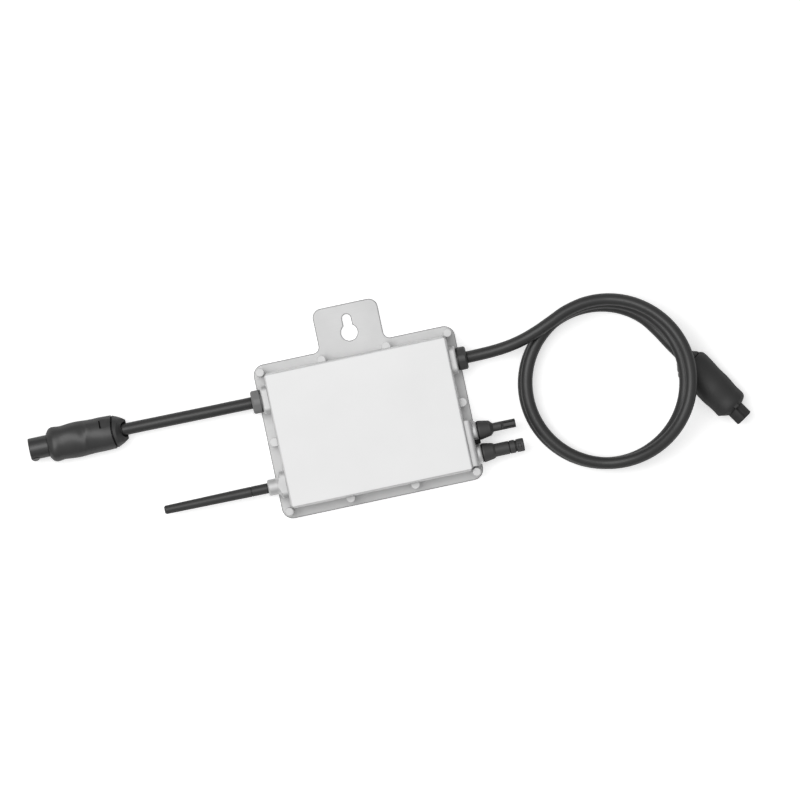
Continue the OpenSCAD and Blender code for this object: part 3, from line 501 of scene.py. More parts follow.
def grip_inside(rows, nut_rows, seat, bore):
    """The insert's bore in front of seat, the seal's behind it, the spigot for the nut, and the neck."""
    front, (rear, half_w, half_h, shift) = rows[-1][0], rows[0]
    neck = (half_w - NECK_SIDE, half_h - NECK_TOP, shift)
    neck_rear = nut_rows[-1][0]
    return [(front, bore), (seat, bore), (seat, SEAL_R), (rear - SPIGOT_LONG, SEAL_R),
            (rear - SPIGOT_LONG, SPIGOT_R), (neck_rear, SPIGOT_R), (neck_rear, *neck), (rear, *neck)]


def nut_inside(rows, seal_from, mouth_deep):
    rear, front = rows[0][0], rows[-1][0]
    return [(front, POCKET_R), (front - SPIGOT_LONG, POCKET_R), (front - SPIGOT_LONG, SEAL_R),
            (seal_from, SEAL_R), (seal_from, NUT_BORE), (mouth_deep, NUT_BORE), (mouth_deep, NUT_MOUTH),
            (rear, NUT_MOUTH)]


socket_body = hollow_piece(
    "socket_grip_moulding", SOCKET_GRIP, grip_inside(SOCKET_GRIP, SOCKET_NUT, SOCKET_SEAT, SOCKET_BORE),
    SOCKET_GRIP_BOW, *SOCKET_AT)
socket_nut = hollow_piece(
    "socket_nut_moulding", SOCKET_NUT, nut_inside(SOCKET_NUT, SOCKET_SEAL_FROM, SOCKET_MOUTH_DEEP),
    SOCKET_NUT_BOW, *SOCKET_AT)
plug_body = hollow_piece(
    "plug_grip_moulding", PLUG_GRIP, grip_inside(PLUG_GRIP, PLUG_NUT, PLUG_SEAT, PLUG_BORE),
    PLUG_GRIP_BOW, *PLUG_AT)
plug_nut = hollow_piece(
    "plug_nut_moulding", PLUG_NUT, nut_inside(PLUG_NUT, PLUG_SEAL_FROM, PLUG_MOUTH_DEEP),
    PLUG_NUT_BOW, *PLUG_AT)
mouldings = (socket_body, plug_body, socket_nut, plug_nut)
print("faces:", [len(piece.data.polygons) for piece in mouldings])

# %% [markdown]
# The small cuts and the plug's latch tab have flat faces and crisp edges, so Booleans with plain boxes
# make them: the flat and the slit of the socket's latch, the corner cut off the plug's shoulder, and the
# slanted mouths of both nuts.

# %% Cut the mouldings with boxes


def boxed(piece, operation, size, corner, tilt_axis, tilt, place, turn):
    """Cuts away or adds a box that has one corner at the given spot and is tilted about it."""
    cutter_mesh = bpy.data.meshes.new("cutter")
    work = bmesh.new()
    bmesh.ops.create_cube(work, size=1)
    work.transform(
        Matrix.Translation(Vector(place) * MM) @ Matrix.Rotation(turn, 4, "Z")
        @ Matrix.Translation(Vector(corner) * MM) @ Matrix.Rotation(tilt, 4, tilt_axis)
        @ Matrix.Diagonal((*(Vector(size) * MM), 1)) @ Matrix.Translation((0.5, 0.5, 0.5)))
    work.to_mesh(cutter_mesh)
    work.free()
    cutter = link_piece("cutter", cutter_mesh)
    modifier = piece.modifiers.new("box", "BOOLEAN")
    modifier.operation, modifier.solver, modifier.object = operation, "EXACT", cutter
    bpy.context.view_layer.update()
    evaluated = piece.evaluated_get(bpy.context.evaluated_depsgraph_get())
    mesh = bpy.data.meshes.new_from_object(evaluated)
    piece.modifiers.remove(modifier)
    piece.data = mesh
    bpy.data.objects.remove(cutter)


# Sizes and corners of the boxes, in each connector's own axes
LATCH_EDGE, LATCH_TILT, LATCH_FROM, LATCH_END = (-5.6, 14.1), radians(34), 13, 26.2
FLAT_WIDE, FLAT_DEEP = 14, 5
SLIT_SIZE, SLIT_CORNER = (1.4, 7.5, 10), (LATCH_END - 1.2, -13.5, 8)
TAB_SIZE, TAB_CORNER = (4.5, 5, 4.6), (68.5, 0, 9)
SHOULDER_SIZE, SHOULDER_CORNER, SHOULDER_TURN = (12, 14, 40), (65.8, -17.6, -20), radians(-41)
MOUTH_SIZE, NUT_CUT_FROM, SOCKET_SLANT, PLUG_SLANT = (60, 40, 30), 0.6, radians(53), radians(70)
MOULD_CREASE = radians(32)

boxed(socket_body, "DIFFERENCE", (LATCH_END - LATCH_FROM, FLAT_WIDE, FLAT_DEEP),
      (LATCH_FROM, LATCH_EDGE[0] - FLAT_WIDE * cos(LATCH_TILT), LATCH_EDGE[1] - FLAT_WIDE * sin(LATCH_TILT)),
      "X", LATCH_TILT, *SOCKET_AT)
boxed(socket_body, "DIFFERENCE", SLIT_SIZE, SLIT_CORNER, "X", 0, *SOCKET_AT)
boxed(plug_body, "UNION", TAB_SIZE, TAB_CORNER, "X", 0, *PLUG_AT)
boxed(plug_body, "DIFFERENCE", SHOULDER_SIZE, SHOULDER_CORNER, "Z", SHOULDER_TURN, *PLUG_AT)
for piece, slant, at in ((socket_nut, SOCKET_SLANT, SOCKET_AT), (plug_nut, PLUG_SLANT, PLUG_AT)):
    corner = (NUT_CUT_FROM - MOUTH_SIZE[2] * cos(slant), -MOUTH_SIZE[1] / 2, -MOUTH_SIZE[2] * sin(slant))
    boxed(piece, "DIFFERENCE", MOUTH_SIZE, corner, "Y", -slant, *at)
for piece in mouldings:
    piece.data.shade_smooth()
    piece.data.set_sharp_from_angle(angle=MOULD_CREASE)
print("faces after the cuts:", [len(piece.data.polygons) for piece in mouldings])

# %% [markdown]
# ## Plastics of the connectors and glands
# The connectors are polyphenylene ether, which keeps its black outdoors. The tool was spark eroded, so
# the skin has a fine even grain and only a soft sheen. The plug comes from a coarser tool and is duller.
# The glands and the panel connectors are glass-filled nylon, whose fibres make the skin a little rougher.

# %% Plastic of the trunk connectors
# Fine grain: a soft highlight along the crest
connector_plastic = surface(
    "moulded polyphenylene ether", ("#282828", "#2d2d2d"), roughness=0.42, grain=0.35 * MM,
    depth=0.02 * MM, mottle=25 * MM, ior=1.55)
# Coarse grain: hardly any highlight
plug_plastic = surface(
    "moulded polyphenylene ether, coarse tool", ("#232323", "#272727"), roughness=0.55, grain=0.4 * MM,
    depth=0.03 * MM, mottle=25 * MM)
# The socket's insert has a smoother skin and a clearer highlight. The plug's is dull, and only its
# narrowest grooves get the painted groove shade.
insert_plastic = surface(
    "moulded polyphenylene ether, plain tool", ("#262626", "#2b2b2b"), roughness=0.38, grain=0.6 * MM,
    depth=0.01 * MM, ior=1.55)
plug_insert_plastic = surface(
    "moulded polyphenylene ether, coarse insert", ("#202020", "#252525"), roughness=0.62, grain=0.5 * MM,
    depth=0.03 * MM, groove=0.4 * MM)

for piece in mouldings:
    piece.data.materials.clear()
    piece.data.materials.append(plug_plastic if piece in (plug_body, plug_nut) else connector_plastic)
    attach(piece, "root")
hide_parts("socket_grip")
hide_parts("plug_grip")
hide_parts("socket_nut")
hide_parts("plug_nut")
print("connectors:", [piece.data.materials[0].name for piece in mouldings])

# %% Plastics of the casing's fittings
# Glass fibres at the surface: a satin skin. The left gland is moulded in grey
gland_nylon = surface(
    "glass-filled nylon, black", ("#303030", "#363636"), roughness=0.43, grain=0.45 * MM,
    depth=0.025 * MM, ior=1.53)
gland_grey_nylon = surface(
    "glass-filled nylon, grey", ("#6c6c6c", "#747474"), roughness=0.52, grain=0.45 * MM, depth=0.025 * MM,
    ior=1.53)
# The painted groove shade of a panel connector and its nut counts only grooves in the piece itself, so the
# joint between them stays light
panel_plastic = surface(
    "glass-filled nylon, panel parts", ("#323232", "#383838"), roughness=0.54, grain=0.4 * MM,
    depth=0.02 * MM, ior=1.55, alone=True)
# A soft sleeve with a silky sheen
antenna_plastic = surface(
    "thermoplastic polyurethane sleeve", ("#2a2a2a", "#2f2f2f"), roughness=0.45, grain=0.6 * MM,
    depth=0.015 * MM)
# Dull and nearly black
seal_rubber = surface(
    "silicone rubber seal", ("#141414", "#191919"), roughness=0.6, grain=0.8 * MM, depth=0.01 * MM,
    ior=1.43)
# A vent of expanded PTFE, made near black as painted shade for the deep gap between the two panel
# connectors' collars
vent_shade_black = surface(
    "expanded PTFE vent, black", ("#050505", "#080808"), roughness=0.9, grain=0.8 * MM, depth=0.01 * MM,
    ior=1.35)
print("fittings:", gland_nylon.name, "/", panel_plastic.name, "/", antenna_plastic.name)

# %% [markdown]
# ## The cables as cords
# The pieces that hang on each cable's end are gathered in a list, and the length of each cable's route is
# printed.

socket_pieces = [socket_body, socket_nut]
socket_pieces += [nodes[name] for name in ("socket_seal", "socket_insert", "socket_pins")]
plug_pieces = [plug_body, plug_nut]
plug_pieces += [nodes[name] for name in ("plug_seal", "plug_insert", "plug_contacts")]
print("cords:", [round(route_length(route), 4) for route in (left_route, right_route)], "m")

# %% [markdown]
# ## The casting and the back plate
# The casing is die-cast aluminium, shot-blasted after casting. Blasting leaves a fine matt grain of small
# craters, so the metal looks like pale grey satin with no mirror reflections. The back plate is rolled
# aluminium sheet, whose rolling leaves long faint lines in one direction. Both get painted shade along
# their edges: the colour turns darker there, where the skin rolls away from the light.

# %% Cast and rolled aluminium
CAST_EDGE_R, SHEET_EDGE_R = 0.6 * MM, 1.9 * MM


def painted_edge_shade(tree, colour, bent, edge_colour):
    """Painted shade: mixes in a darker colour where the bent normal leaves the true one, which is along
    every edge.
    """
    true = add(tree, "ShaderNodeNewGeometry").outputs["True Normal"]
    agree = add(tree, "ShaderNodeVectorMath", {0: bent, 1: true}, operation="DOT_PRODUCT").outputs["Value"]
    edge = add(tree, "ShaderNodeMapRange", {
        "Value": agree, "From Min": 0.99, "From Max": 0.9}).outputs["Result"]
    return add(tree, "ShaderNodeMix", {
        "Factor": edge, 6: colour, 7: linear(edge_colour)}, data_type="RGBA").outputs[2]


def cast_aluminium():
    material, tree, shader, place = new_material("shot-blasted die-cast aluminium")
    bent = add(tree, "ShaderNodeBevel", {"Radius": CAST_EDGE_R}, samples=BEVEL_SAMPLES).outputs["Normal"]
    metal = patchy(tree, place, size=40 * MM, colours=("#cacaca", "#d4d4d4"), detail=5.0, roughness=0.6)
    # Painted shade along the casting's edges, towards #a0a0a0
    tree.links.new(painted_edge_shade(tree, metal, bent, "#a0a0a0"), shader.inputs["Base Color"])
    grain = add(tree, "ShaderNodeTexNoise", {
        "Vector": place, "Scale": 1 / (0.5 * MM), "Detail": 2.0}).outputs["Fac"]
    rough = grained(tree, shader, grain, roughness=(0.6, 0.7), depth=0.03 * MM, normal=bent)
    craters = add(tree, "ShaderNodeTexVoronoi", {
        "Vector": place, "Scale": 1 / (0.8 * MM)}).outputs["Distance"]
    pitted = add(tree, "ShaderNodeBump", {
        "Height": craters, "Distance": 0.02 * MM, "Strength": 1.0, "Normal": rough}).outputs["Normal"]
    tree.links.new(pitted, shader.inputs["Normal"])
    shader.inputs["Metallic"].default_value = 1.0
    return material


def rolled_aluminium():
    material, tree, shader, place = new_material("rolled aluminium sheet")
    bent = add(tree, "ShaderNodeBevel", {"Radius": SHEET_EDGE_R}, samples=BEVEL_SAMPLES).outputs["Normal"]
    metal = patchy(tree, place, size=60 * MM, colours=("#c9c9c9", "#d1d1d1"), detail=4.0)
    # Painted shade along the sheet's edges, towards #525252
    tree.links.new(painted_edge_shade(tree, metal, bent, "#525252"), shader.inputs["Base Color"])
    stretched = add(tree, "ShaderNodeMapping", {"Vector": place, "Scale": (0.02, 1, 1)}).outputs["Vector"]
    lines = add(tree, "ShaderNodeTexNoise", {
        "Vector": stretched, "Scale": 1 / (0.5 * MM), "Detail": 3.0}).outputs["Fac"]
    ruled = grained(tree, shader, lines, roughness=(0.6, 0.7), depth=0.006 * MM, normal=bent)
    tree.links.new(ruled, shader.inputs["Normal"])
    shader.inputs["Metallic"].default_value = 1.0
    return material


casting = cast_aluminium()
sheet_metal = rolled_aluminium()
print("metals:", casting.name, "/", sheet_metal.name)

# %% [markdown]
# The label is a matt film that covers most of the front, and its near white takes the light evenly. The
# screws are zinc-plated steel, a bluish grey with a clear highlight.

# %% Label and screws
label_film = surface(
    "matt polyester label film", ("#e3e3e3", "#e6e6e6"), roughness=0.5, grain=0.4 * MM, depth=0.004 * MM,
    mottle=80 * MM, ior=1.6)
zinc_steel = surface(
    "zinc-plated steel", ("#b4b6b8", "#c2c4c6"), roughness=0.32, grain=0.3 * MM, depth=0.006 * MM,
    mottle=3 * MM, metallic=1.0)
print("label and screws:", label_film.name, "/", zinc_steel.name)

# %% [markdown]
# ## Materials of the inside
# Nothing of the inside shows in the photograph, but the unit comes apart, so every piece has the finish
# that it would have on a bench: green solder mask, ferrite, enamelled copper, shrunk sleeves and tin.

# %% Metals of the inside
# Turned, drawn or rolled metal: nearly smooth, with a tight highlight
brass = surface(
    "turned brass", ("#c39a4e", "#cda45a"), roughness=0.28, grain=0.25 * MM, depth=0.004 * MM,
    mottle=4 * MM, metallic=1.0)
tinned_copper = surface(
    "tinned copper", ("#b5b7b9", "#c0c2c4"), roughness=0.3, grain=0.3 * MM, depth=0.004 * MM,
    mottle=4 * MM, metallic=1.0)
tin_plate = surface(
    "tin-plated steel sheet", ("#b8babc", "#c4c6c8"), roughness=0.25, grain=0.4 * MM, depth=0.004 * MM,
    metallic=1.0)
print("metals:", brass.name, "/", tinned_copper.name, "/", tin_plate.name)

# %% Boards, blocks and cores
# Lacquer over copper tracks: glossy, in slightly uneven colour
green_mask = surface(
    "green solder mask", ("#1f5a38", "#27663f"), roughness=0.35, grain=0.8 * MM, depth=0.02 * MM,
    mottle=6 * MM)
blue_mask = surface(
    "blue solder mask", ("#1d4460", "#244f6b"), roughness=0.35, grain=0.8 * MM, depth=0.02 * MM,
    mottle=6 * MM)
# Plain moulded or extruded plastic: an even colour with a soft highlight
terminal_green = surface(
    "moulded polyamide, green", ("#347349", "#3c7d52"), roughness=0.45, grain=0.4 * MM, depth=0.015 * MM)
core_brown = surface(
    "cross-linked core insulation", ("#7d4f2c", "#875731"), roughness=0.4, grain=0.4 * MM,
    depth=0.008 * MM)
# Pressed and fired powder: dark, dull and slightly pitted
ferrite = surface(
    "sintered ferrite", ("#35353a", "#3e3e43"), roughness=0.6, grain=0.5 * MM, depth=0.04 * MM,
    mottle=6 * MM, ior=2.0)
# Resin with mineral filler: pale and matt
bobbin_resin = surface(
    "phenolic bobbin resin", ("#cfc5a6", "#d9d0b2"), roughness=0.5, grain=0.4 * MM, depth=0.01 * MM)
print("boards and cores:", green_mask.name, "/", ferrite.name, "/", bobbin_resin.name)

# %% Cases, sleeves and leads
# Shrunk film: the glossiest skin here
capacitor_sleeve = surface(
    "shrunk PET sleeve", ("#253a60", "#2b4069"), roughness=0.22, grain=1 * MM, depth=0.01 * MM, ior=1.57)
# Poured or moulded smooth: glossy, but less than film
film_epoxy = surface(
    "film capacitor box, epoxy", ("#bda832", "#c7b23c"), roughness=0.3, grain=0.6 * MM, depth=0.01 * MM)
relay_plastic = surface(
    "relay case, polybutylene", ("#2a5880", "#315f88"), roughness=0.3, grain=0.6 * MM, depth=0.01 * MM)
# Soft and chalky: hardly any highlight
soft_silicone = surface(
    "silicone gap pad", ("#96a7af", "#a2b2ba"), roughness=0.7, grain=0.5 * MM, depth=0.03 * MM, ior=1.43)
# Extruded insulation: satin
red_insulation = surface(
    "silicone lead insulation, red", ("#7f2929", "#893030"), roughness=0.45, grain=0.4 * MM,
    depth=0.01 * MM)
coax_jacket = surface(
    "coaxial lead jacket", ("#232425", "#2a2b2c"), roughness=0.4, grain=0.4 * MM, depth=0.006 * MM)
print("cases and leads:", capacitor_sleeve.name, "/", relay_plastic.name, "/", coax_jacket.name)

# %% [markdown]
# Two finishes need nodes of their own. Winding wire is copper under clear enamel, so a glossy coat lies on
# the metal. A power transistor is black epoxy on a tinned tab, told apart by height.

# %% Winding wire and transistors


def enamelled_copper():
    material, tree, shader, place = new_material("enamelled copper wire")
    colour = patchy(tree, place, size=3 * MM, colours=("#a5581f", "#bd6c33"))
    tree.links.new(colour, shader.inputs["Base Color"])
    patches = add(tree, "ShaderNodeTexNoise", {"Vector": place, "Scale": 1 / (3 * MM), "Detail": 3.0})
    level = add(tree, "ShaderNodeMapRange", {"Value": patches.outputs["Fac"], "To Min": 0.25, "To Max": 0.4})
    tree.links.new(level.outputs["Result"], shader.inputs["Roughness"])
    ripple = add(tree, "ShaderNodeTexNoise", {"Vector": place, "Scale": 1 / (0.4 * MM), "Detail": 3.0})
    rippled = add(tree, "ShaderNodeBump", {
        "Height": ripple.outputs["Fac"], "Distance": 0.01 * MM, "Strength": 1.0})
    tree.links.new(rippled.outputs["Normal"], shader.inputs["Normal"])
    shader.inputs["Metallic"].default_value = 1.0
    shader.inputs["Coat Weight"].default_value = 0.6
    return material


def epoxy_on_tab(tab_from):
    material, tree, shader, place = new_material("moulding epoxy on a tinned tab")
    height = add(tree, "ShaderNodeSeparateXYZ", {"Vector": place}).outputs["Z"]
    is_tab = add(tree, "ShaderNodeMath", {0: height, 1: tab_from}, operation="GREATER_THAN").outputs[0]
    colour = add(tree, "ShaderNodeMix", {
        "Factor": is_tab, 6: linear("#29292b"), 7: linear("#b9bbbd")}, data_type="RGBA").outputs[2]
    tree.links.new(colour, shader.inputs["Base Color"])
    tree.links.new(is_tab, shader.inputs["Metallic"])
    grain = add(tree, "ShaderNodeTexNoise", {
        "Vector": place, "Scale": 1 / (0.3 * MM), "Detail": 3.0}).outputs["Fac"]
    moulded = grained(tree, shader, grain, roughness=(0.4, 0.55), depth=0.015 * MM)
    tree.links.new(moulded, shader.inputs["Normal"])
    return material


TAB_FROM = 31.2 * MM
copper = enamelled_copper()
transistor_finish = epoxy_on_tab(TAB_FROM)
print("patterned finishes:", copper.name, "/", transistor_finish.name)

# %% [markdown]
# ## A finish for every solid
# Each solid of the CAD frame gets its finish by name, so that the list also says what every piece is made
# of. The seals and the cover's gasket are left out of the list, and are all silicone rubber.

# %% Dress every CAD node
finishes = {
    "housing": casting, "back_cover": sheet_metal, "front_label": label_film,
    "cover_screws": zinc_steel, "board_screws": zinc_steel,
    "gland_body_left": gland_grey_nylon, "gland_body_right": gland_nylon,
    "gland_nut_left": gland_grey_nylon, "gland_nut_right": gland_nylon,
    "socket_nut": connector_plastic, "plug_nut": plug_plastic,
    "socket_insert": insert_plastic, "plug_insert": plug_insert_plastic,
    "thin_connector": panel_plastic, "thick_connector": panel_plastic,
    "thin_connector_nut": panel_plastic, "thick_connector_nut": panel_plastic, "vent_plug": vent_shade_black,
    "antenna_whip": antenna_plastic, "antenna_base": brass, "antenna_nut": brass,
    "socket_pins": brass, "plug_contacts": brass,
    "thin_contact": tinned_copper, "thick_contact": tinned_copper,
    "main_board": green_mask, "radio_board": blue_mask, "radio_shield": tin_plate,
    "terminal_block_left": terminal_green, "terminal_block_right": terminal_green,
    "trunk_cores_left": core_brown, "trunk_cores_right": core_brown,
    "transformer_core": ferrite, "choke_core": ferrite, "transformer_bobbin": bobbin_resin,
    "transformer_winding": copper, "choke_winding": copper,
    "capacitor_1": capacitor_sleeve, "capacitor_2": capacitor_sleeve,
    "capacitor_3": capacitor_sleeve, "capacitor_4": capacitor_sleeve,
    "film_capacitor": film_epoxy, "relay_1": relay_plastic, "relay_2": relay_plastic,
    "transistors": transistor_finish, "thermal_pad": soft_silicone,
    "panel_leads": red_insulation, "antenna_lead": coax_jacket,
    "trunk_cable_left": cable_rubber, "trunk_cable_right": cable_rubber,
    "socket_grip": connector_plastic, "plug_grip": plug_plastic,
}
for name, node in nodes.items():
    finish = finishes.get(name, seal_rubber)
    for slot in node.material_slots:
        slot.material = finish
print("dressed:", len(nodes), "nodes,", sorted(n for n in nodes if n not in finishes), "in seal rubber")

# %% [markdown]
# ## The windings
# The choke is a ferrite ring with two coils of thick enamelled wire. The transformer's outermost layer is
# thinner wire, laid turn beside turn. A coil follows a rule as a cable does, so the same function sweeps
# its wire. Only the route is new: it goes round and round the section while it moves along the coil. Each
# winding takes the place of a plain solid that fills the same room.

# %% Wind the choke and the transformer
POINTS_PER_TURN, WIRE_SIDES = 16, 8
# The choke's coils lie on a ring, each over a span of degrees. Both sections are half sizes with a power
CHOKE_AT, CHOKE_R, CHOKE_STARTS, CHOKE_SPAN, CHOKE_MARGIN = (-42, -6, 15.1), 10, (25, 205), 130, 6
CHOKE_SECTION, CHOKE_TURNS, CHOKE_WIRE_R = (4.5, 5.5, 6), 9, 0.8
COIL_AT, COIL_LONG, COIL_SECTION, COIL_TURNS, COIL_WIRE_R = (5, -4, 21.5), 24, (14.3, 9.9, 8), 28, 0.42


def turns_round(section, wire_r, turns):
    """How far along the coil (0 to 1), and where on the section, from its lowest point upwards."""
    half_w, half_h, power = section[0] - wire_r, section[1] - wire_r, section[2]
    for i in range(turns * POINTS_PER_TURN + 1):
        a = 2 * pi * i / POINTS_PER_TURN - pi / 2
        c, s = cos(a), sin(a)
        yield (i / (turns * POINTS_PER_TURN), half_w * abs(c) ** (2 / power) * np.sign(c),
               half_h * abs(s) ** (2 / power) * np.sign(s))


def choke_route(start):
    route = []
    for along, across, rise in turns_round(CHOKE_SECTION, CHOKE_WIRE_R, CHOKE_TURNS):
        a = radians(start + CHOKE_MARGIN + along * (CHOKE_SPAN - 2 * CHOKE_MARGIN))
        r = CHOKE_R + across
        route.append((CHOKE_AT[0] + r * cos(a), CHOKE_AT[1] + r * sin(a), CHOKE_AT[2] + rise))
    return route


def coil_route():
    reach = COIL_LONG / 2 - COIL_WIRE_R
    return [(COIL_AT[0] + across, COIL_AT[1] + (2 * along - 1) * reach, COIL_AT[2] + rise)
            for along, across, rise in turns_round(COIL_SECTION, COIL_WIRE_R, COIL_TURNS)]


choke_routes = [np.array(choke_route(start)) * MM for start in CHOKE_STARTS]
choke_coils = sweep("choke_coils", choke_routes, CHOKE_WIRE_R * MM, WIRE_SIDES, copper)
transformer_routes = [np.array(coil_route()) * MM]
transformer_coil = sweep("transformer_coil", transformer_routes, COIL_WIRE_R * MM, WIRE_SIDES, copper)
for coil in (choke_coils, transformer_coil):
    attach(coil, "root")
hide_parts("choke_winding")
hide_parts("transformer_winding")
print("windings:", [len(coil.data.polygons) for coil in (choke_coils, transformer_coil)], "faces")

# %% [markdown]
# ## The cover screws
# Ten equal countersunk screws hold the back plate. One is turned as a profile: the head's cone, then
# a rolled thread as a row of small ridges, then the tip. A hexagon socket is sunk in the head.

# %% One screw as a mesh
SCREW_SIDES, SOCKET_RINGS = 24, 2
HEAD_R, SHANK_R, CORE_R, TIP_R, HEX_R = 3.9, 1.95, 1.6, 1.3, 1.45
HEAD_FROM, CHAMFER, CONE_TO, THREAD_FROM, SCREW_TIP, HEX_DEEP = 0.1, 0.15, 2.1, 2.6, 12, 1.3
PITCH, RIDGE_FROM, RIDGE_TO = 0.7, 0.3, 0.4
SCREW_CREASE = radians(28)


def screw_profile():
    """Radius and height from the socket's floor, over the head and the thread, to the tip."""
    rows = [(HEX_R, HEX_DEEP), (HEX_R, HEAD_FROM), (HEAD_R - CHAMFER, HEAD_FROM),
            (HEAD_R, HEAD_FROM + CHAMFER), (SHANK_R, CONE_TO), (CORE_R, THREAD_FROM)]
    for z in np.arange(THREAD_FROM, SCREW_TIP - PITCH, PITCH):
        rows += [(SHANK_R, z + RIDGE_FROM), (SHANK_R, z + RIDGE_TO), (CORE_R, z + PITCH)]
    return rows + [(TIP_R, SCREW_TIP)]


def turned_screw():
    """A ring for each row. The first two are the socket's, whose points lie along a hexagon."""
    rings = []
    for i, (r, z) in enumerate(screw_profile()):
        step = SCREW_SIDES // 6 if i < SOCKET_RINGS else 1
        k = np.arange(SCREW_SIDES)
        corner, blend = k // step * step, k % step / step
        a, b = 2 * pi * corner / SCREW_SIDES, 2 * pi * (corner + step) / SCREW_SIDES
        x = r * ((1 - blend) * np.cos(a) + blend * np.cos(b))
        y = r * ((1 - blend) * np.sin(a) + blend * np.sin(b))
        rings.append(np.stack([x, y, np.full(SCREW_SIDES, z)], axis=1))
    mesh = loft("screw", rings, closed=False)
    mesh.shade_smooth()
    mesh.set_sharp_from_angle(angle=SCREW_CREASE)
    return mesh


one_screw = link_piece("one_screw", turned_screw())
print("one screw:", len(one_screw.data.polygons), "faces")

# %% [markdown]
# Geometry Nodes place that one screw on its ten spots: the four corners, four more along the long edges,
# and the middle of each short one. Each is turned by its own amount, because nobody stops ten screws at
# the same angle. The seed is fixed, so they stand the same way every time.

# %% Geometry Nodes: the screw on ten spots
SCREW_SPOTS = [(sx * x, sy * y) for x, y in ((95.5, 70.8), (33, 70.5)) for sx in (-1, 1) for sy in (-1, 1)]
SCREW_SPOTS += [(-96, 0), (96, 0)]
SCREW_SEED = 4

screw_tree = new_geometry_tree("screw on each spot", [
    ("Screw", "NodeSocketObject", None), ("Seed", "NodeSocketInt", SCREW_SEED),
    ("Material", "NodeSocketMaterial", None)])
source = add(screw_tree, "NodeGroupInput")
shape = add(screw_tree, "GeometryNodeObjectInfo", {"Object": source.outputs["Screw"]})
turn = add(screw_tree, "FunctionNodeRandomValue", {"Max": (0, 0, 2 * pi), "Seed": source.outputs["Seed"]},
           data_type="FLOAT_VECTOR")
placed = add(screw_tree, "GeometryNodeInstanceOnPoints", {
    "Points": source.outputs["Geometry"], "Instance": shape.outputs["Geometry"],
    "Rotation": turn.outputs["Value"]})
real = add(screw_tree, "GeometryNodeRealizeInstances", {"Geometry": placed.outputs["Instances"]})
coated = add(screw_tree, "GeometryNodeSetMaterial", {
    "Geometry": real.outputs["Geometry"], "Material": source.outputs["Material"]})
add(screw_tree, "NodeGroupOutput", {"Geometry": coated.outputs["Geometry"]})

spots_mesh = bpy.data.meshes.new("screw_spots")
spots_mesh.from_pydata([(x * MM, y * MM, 0) for x, y in SCREW_SPOTS], [], [])
spots = link_piece("screw_spots", spots_mesh)
screws = link_piece("cover_screw_set", run_tree(spots, screw_tree, {
    "Screw": one_screw, "Seed": SCREW_SEED, "Material": zinc_steel}))
for helper in (spots, one_screw):
    bpy.data.objects.remove(helper)
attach(screws, "root")
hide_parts("cover_screws")
print("screws:", len(SCREW_SPOTS), "with", len(screws.data.polygons), "faces")

# %% [markdown]
# ## Floor and light
# The photograph has a plain white ground. The floor is a pale matt card, and what the camera sees of it
# is lifted to white, so the lamp stays at a level at which colours render about as written. The card lies
# a tenth of a millimetre below the back plate, because two faces at one height would show through in spots.

# %% Floor
FLOOR_SIZE, FLOOR_DROP, FLOOR_LIFT = 12.0, 0.1 * MM, 0.45
half = FLOOR_SIZE / 2
corners = [(x * half, y * half, -FLOOR_DROP) for x, y in ((-1, -1), (1, -1), (1, 1), (-1, 1))]
floor_mesh = bpy.data.meshes.new("floor")
floor_mesh.from_pydata(corners, [], [(0, 1, 2, 3)])
floor = link_piece("floor", floor_mesh)

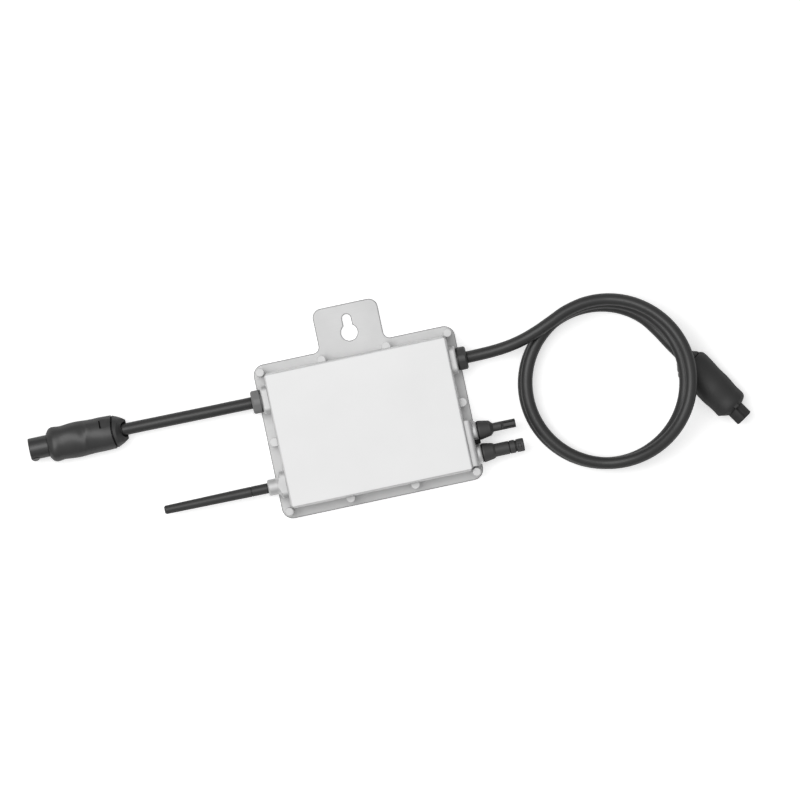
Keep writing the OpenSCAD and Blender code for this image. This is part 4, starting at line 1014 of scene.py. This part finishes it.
floor_material, floor_tree, floor_shader, _ = new_material("pale matt card")
floor_shader.inputs["Base Color"].default_value = linear("#ececec")
floor_shader.inputs["Roughness"].default_value = 0.9
floor_shader.inputs["Specular IOR Level"].default_value = 0.0
floor_shader.inputs["Emission Color"].default_value = (1, 1, 1, 1)
rays = add(floor_tree, "ShaderNodeLightPath")
seen = add(floor_tree, "ShaderNodeMath", {
    0: rays.outputs["Is Camera Ray"], 1: rays.outputs["Is Glossy Ray"]}, operation="MAXIMUM")
seen = add(floor_tree, "ShaderNodeMath", {
    0: seen.outputs[0], 1: rays.outputs["Is Transmission Ray"]}, operation="MAXIMUM")
lift = add(floor_tree, "ShaderNodeMath", {0: seen.outputs[0], 1: FLOOR_LIFT}, operation="MULTIPLY")
floor_tree.links.new(lift.outputs[0], floor_shader.inputs["Emission Strength"])
floor_mesh.materials.append(floor_material)
print("floor:", FLOOR_SIZE, "m wide")

# %% [markdown]
# The light is soft and comes from a little left of overhead. One big area lamp there gives it its
# direction, and the world fills the shadows: bright overhead and dim near the horizon, so that every
# rounded edge turns darker.

# %% Light


def area_lamp(name, direction, height_angle, distance, wide, long, power):
    """A lamp that looks at the unit, long towards it. direction is its bearing in degrees in the picture."""
    a, e = radians(direction) - TURN, radians(height_angle)
    back = Vector((cos(a) * cos(e), sin(a) * cos(e), sin(e)))
    data = bpy.data.lights.new(name, "AREA")
    data.shape, data.size, data.size_y, data.energy = "RECTANGLE", wide, long, power
    lamp = bpy.data.objects.new(name, data)
    lamp.location = Vector((VIEW_CENTRE[0], VIEW_CENTRE[1], 0)) + back * distance
    lamp.rotation_mode = "QUATERNION"
    lamp.rotation_quaternion = back.to_track_quat("Z", "Y")
    lamp.visible_camera = False
    scene.collection.objects.link(lamp)
    return lamp


area_lamp("key_upper_left", direction=159, height_angle=69, distance=2.4, wide=1.3, long=2.0, power=28)

HORIZON_LIGHT, ZENITH_LIGHT = 0.2, 0.8
world = bpy.data.worlds.new("studio")
scene.world = world
world.use_nodes = True
world.node_tree.nodes.clear()
direction = add(world.node_tree, "ShaderNodeTexCoord")
height = add(world.node_tree, "ShaderNodeSeparateXYZ", {"Vector": direction.outputs["Generated"]})
level = add(world.node_tree, "ShaderNodeMapRange", {
    "Value": height.outputs["Z"], "To Min": HORIZON_LIGHT, "To Max": ZENITH_LIGHT})
sky = add(world.node_tree, "ShaderNodeBackground", {
    "Color": (1, 1, 1, 1), "Strength": level.outputs["Result"]})
add(world.node_tree, "ShaderNodeOutputWorld", {"Surface": sky.outputs["Background"]})
scene.view_settings.view_transform = "Standard"
